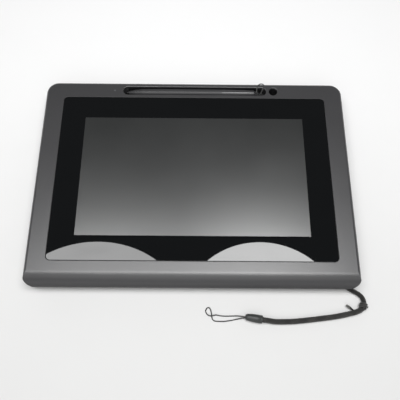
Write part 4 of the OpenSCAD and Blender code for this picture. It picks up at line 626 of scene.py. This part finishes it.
for point, turn, length in TAILS:
    way = Vector((math.cos(math.radians(turn)), math.sin(math.radians(turn)), 0))
    tail_line = [(Vector(point) + way * length * k / TAIL_PARTS) * MM for k in range(TAIL_PARTS + 1)]
    tail = laid_tube(tail_line, TAIL_SIDES, tail_surface)
    for face in tail.faces:
        gone = (face.calc_center_median() / MM - Vector(point)).dot(way)
        face.material_index = int(gone > FRAYED_FROM * length)
    tail_mesh = bpy.data.meshes.new("knot_tail")
    tail.to_mesh(tail_mesh)
    tail.free()
    knot.from_mesh(tail_mesh)
    bpy.data.meshes.remove(tail_mesh)
bmesh.ops.recalc_face_normals(knot, faces=knot.faces)
# Its lighter second colour is painted highlight on the frayed fibres; the first is the fibres' own grey.
frayed = spun("frayed_end", (0.10, 0.10, 0.092), (0.30, 0.30, 0.28), 0.3)
knot_piece = finished("tether_knot_wrap", knot, (cord_black, frayed), "cord_braid", "tablet", "tether_knot")


# Tether cap
# A grey moulded cap, pressed on the cord's end, with a groove round its wide end and a narrower mouth for the
# string.
CAP_AT, CAP_TURN = Vector((65.5, -134.2, 3.9)) * MM, math.radians(171.2)
CAP_PROFILE = [
    (0, 0), (3.4, 0), (3.65, 0.1), (3.8, 0.35), (3.8, 1.2), (3.62, 1.35), (3.62, 1.6), (3.8, 1.75),
    (3.78, 5.4), (3.7, 7.4), (3.5, 10.4), (3.25, 12.8), (3.05, 14.0), (2.7, 14.9), (2.2, 15.5), (1.6, 15.9),
    (1.0, 16.0), (0, 16.0)]
CAP_SIDES = 40
cap = bmesh.new()
ring = [cap.verts.new((r * MM, 0, z * MM)) for r, z in CAP_PROFILE]
edges = [cap.edges.new(pair) for pair in zip(ring, ring[1:])]
bmesh.ops.spin(cap, geom=ring + edges, cent=(0, 0, 0), axis=(0, 0, 1), angle=2 * math.pi, steps=CAP_SIDES,
               use_merge=True)
bmesh.ops.remove_doubles(cap, verts=cap.verts, dist=TOUCHING)
bmesh.ops.recalc_face_normals(cap, faces=cap.faces)
bmesh.ops.transform(cap, matrix=lying(CAP_AT, CAP_TURN), verts=cap.verts)
cap_grey = moulded("cap_grey", (0.037, 0.040, 0.039), 0.45, grain=3600, depth=1e-5)
cap_piece = finished("tether_cap_moulding", cap, (cap_grey,), "cap_plastic", "tablet", "tether_cap")


# Tether string
# A loop of the same thin string out of the cap, twisted once, which holds the pen when the pen is on the
# cord.
STRING_POINTS = [
    (49.6, -131.8, 3.4), (46.5, -131.2, 2.4), (42, -130.8, 1), (36, -130.9, 0.6), (30, -131, 0.6),
    (26, -130.6, 0.6), (22.8, -130, 0.9), (20.4, -130.4, 1.8), (17.8, -130.9, 1.9), (15.2, -130.2, 1),
    (13.2, -128, 0.6), (13, -125.4, 0.6), (14.8, -123.3, 0.6), (17, -124.2, 0.6), (18, -127, 0.6),
    (18.4, -130, 0.6), (18.8, -133, 0.6), (20.6, -135.2, 0.6), (24, -135.8, 0.6), (30, -135.8, 0.6),
    (36, -135, 0.6), (41, -134, 1), (46, -133, 2.2), (49.4, -132.6, 3.2)]
string_line = smooth_route(STRING_POINTS, STRING_STEP)
string = finished("tether_string_loop", laid_tube(string_line, STRING_SIDES, string_surface), (string_grey,),
                  "string_grey", "tablet", "tether_string")


# Table and light
# A plain pale table under the tablet, its colour painted darker towards the front as painted shade before the
# tablet, two round diffusers overhead, a weaker one in front and pale walls far off, the brightest behind the
# tablet. Where the table and the walls are seen far off they fade to one pale backdrop, which puts no light
# on the tablet.
TABLE_R = 5.0
SHADED_FRONT_PAPER, REAR_PAPER = (0.70, 0.70, 0.695, 1), (0.945, 0.945, 0.945, 1)
PAINTED_SHADE_FULL_AT, PAINTED_SHADE_GONE_AT = -0.25, 0.30
FADE_FROM, FADE_TO, FADED_TABLE, FADED_WALL = 0.3, 1.4, 0.58, 0.88
WALL_LIGHT, CEILING_LIGHT = 0.6, 0.06
FRONT_SHARE, REAR_SHARE = 0.3, 1.5
WHITE = (1, 1, 1, 1)
LAMPS = (
    ("diffuser_left", (-0.30, -0.05, 1.0), (0.56, 0.48), 0, 4.3),
    ("diffuser_right", (0.20, -0.04, 1.03), (0.50, 0.48), 0, 6.2),
    ("diffuser_front", (0.0, -0.7, 0.8), (1.4, 0.9), -42, 3.2))


def looked_at(tree):
    """A mask of what is seen straight, mirrored or through glass, and not of what lights the tablet."""
    ray = put(tree, "ShaderNodeLightPath").outputs
    return reckon(tree, "MAXIMUM", ray["Is Camera Ray"], reckon(
        tree, "MAXIMUM", ray["Is Glossy Ray"], ray["Is Transmission Ray"]))


table = bmesh.new()
bmesh.ops.create_circle(table, cap_ends=True, segments=64, radius=TABLE_R)
table_mesh = bpy.data.meshes.new("table_top")
table.to_mesh(table_mesh)
table.free()
table_finish, tree, shader = new_finish("table_paper")
at = put(tree, "ShaderNodeTexCoord").outputs["Object"]
fleck = put(tree, "ShaderNodeTexNoise", {"Vector": at, "Scale": 30.0, "Detail": 3.0}).outputs[0]
back = put(tree, "ShaderNodeSeparateXYZ", {0: at}).outputs["Y"]
# Painted shade: the table's colour darker towards the front, before the tablet, fading out towards the back.
pale = spread_over(tree, reckon(tree, "MULTIPLY_ADD", fleck, 0.03, back), PAINTED_SHADE_FULL_AT, PAINTED_SHADE_GONE_AT, 0.0, 1.0)
tree.links.new(tinted(tree, pale, SHADED_FRONT_PAPER, REAR_PAPER), shader.inputs["Base Color"])
shader.inputs["Roughness"].default_value = 0.9
shader.inputs["Specular IOR Level"].default_value = 0.1
far_off = put(tree, "ShaderNodeVectorMath", {0: at}, operation="LENGTH").outputs["Value"]
faded = spread_over(tree, far_off, FADE_FROM, FADE_TO, 0.0, FADED_TABLE)
tree.links.new(reckon(tree, "MULTIPLY", looked_at(tree), faded), shader.inputs["Emission Strength"])
shader.inputs["Emission Color"].default_value = WHITE
table_mesh.materials.append(table_finish)
table_top = bpy.data.objects.new("table_top", table_mesh)
scene.collection.objects.link(table_top)
for name, place, (width, depth), lean, power in LAMPS:
    lamp = bpy.data.lights.new(name, "AREA")
    lamp.shape = "ELLIPSE"
    lamp.size = width
    lamp.size_y = depth
    lamp.energy = power
    hung = bpy.data.objects.new(name, lamp)
    hung.location = place
    hung.rotation_euler = (-math.radians(lean), 0, 0)
    scene.collection.objects.link(hung)
scene.world = bpy.data.worlds.new("pale_room")
scene.world.use_nodes = True
sky = scene.world.node_tree
outward = put(sky, "ShaderNodeSeparateXYZ", {
    0: put(sky, "ShaderNodeTexCoord").outputs["Generated"]}).outputs
walls = reckon(sky, "MULTIPLY", spread_over(sky, outward["Z"], 0.2, 0.75, WALL_LIGHT, CEILING_LIGHT),
               spread_over(sky, outward["Y"], -0.6, 0.8, FRONT_SHARE, REAR_SHARE))
backdrop = reckon(sky, "MULTIPLY", looked_at(sky), spread_over(sky, outward["Z"], 0.1, 0.35, FADED_WALL, 0.0))
around = sky.nodes["Background"].inputs
sky.links.new(reckon(sky, "MAXIMUM", walls, backdrop), around["Strength"])
around["Color"].default_value = WHITE
scene.view_settings.view_transform = "Standard"
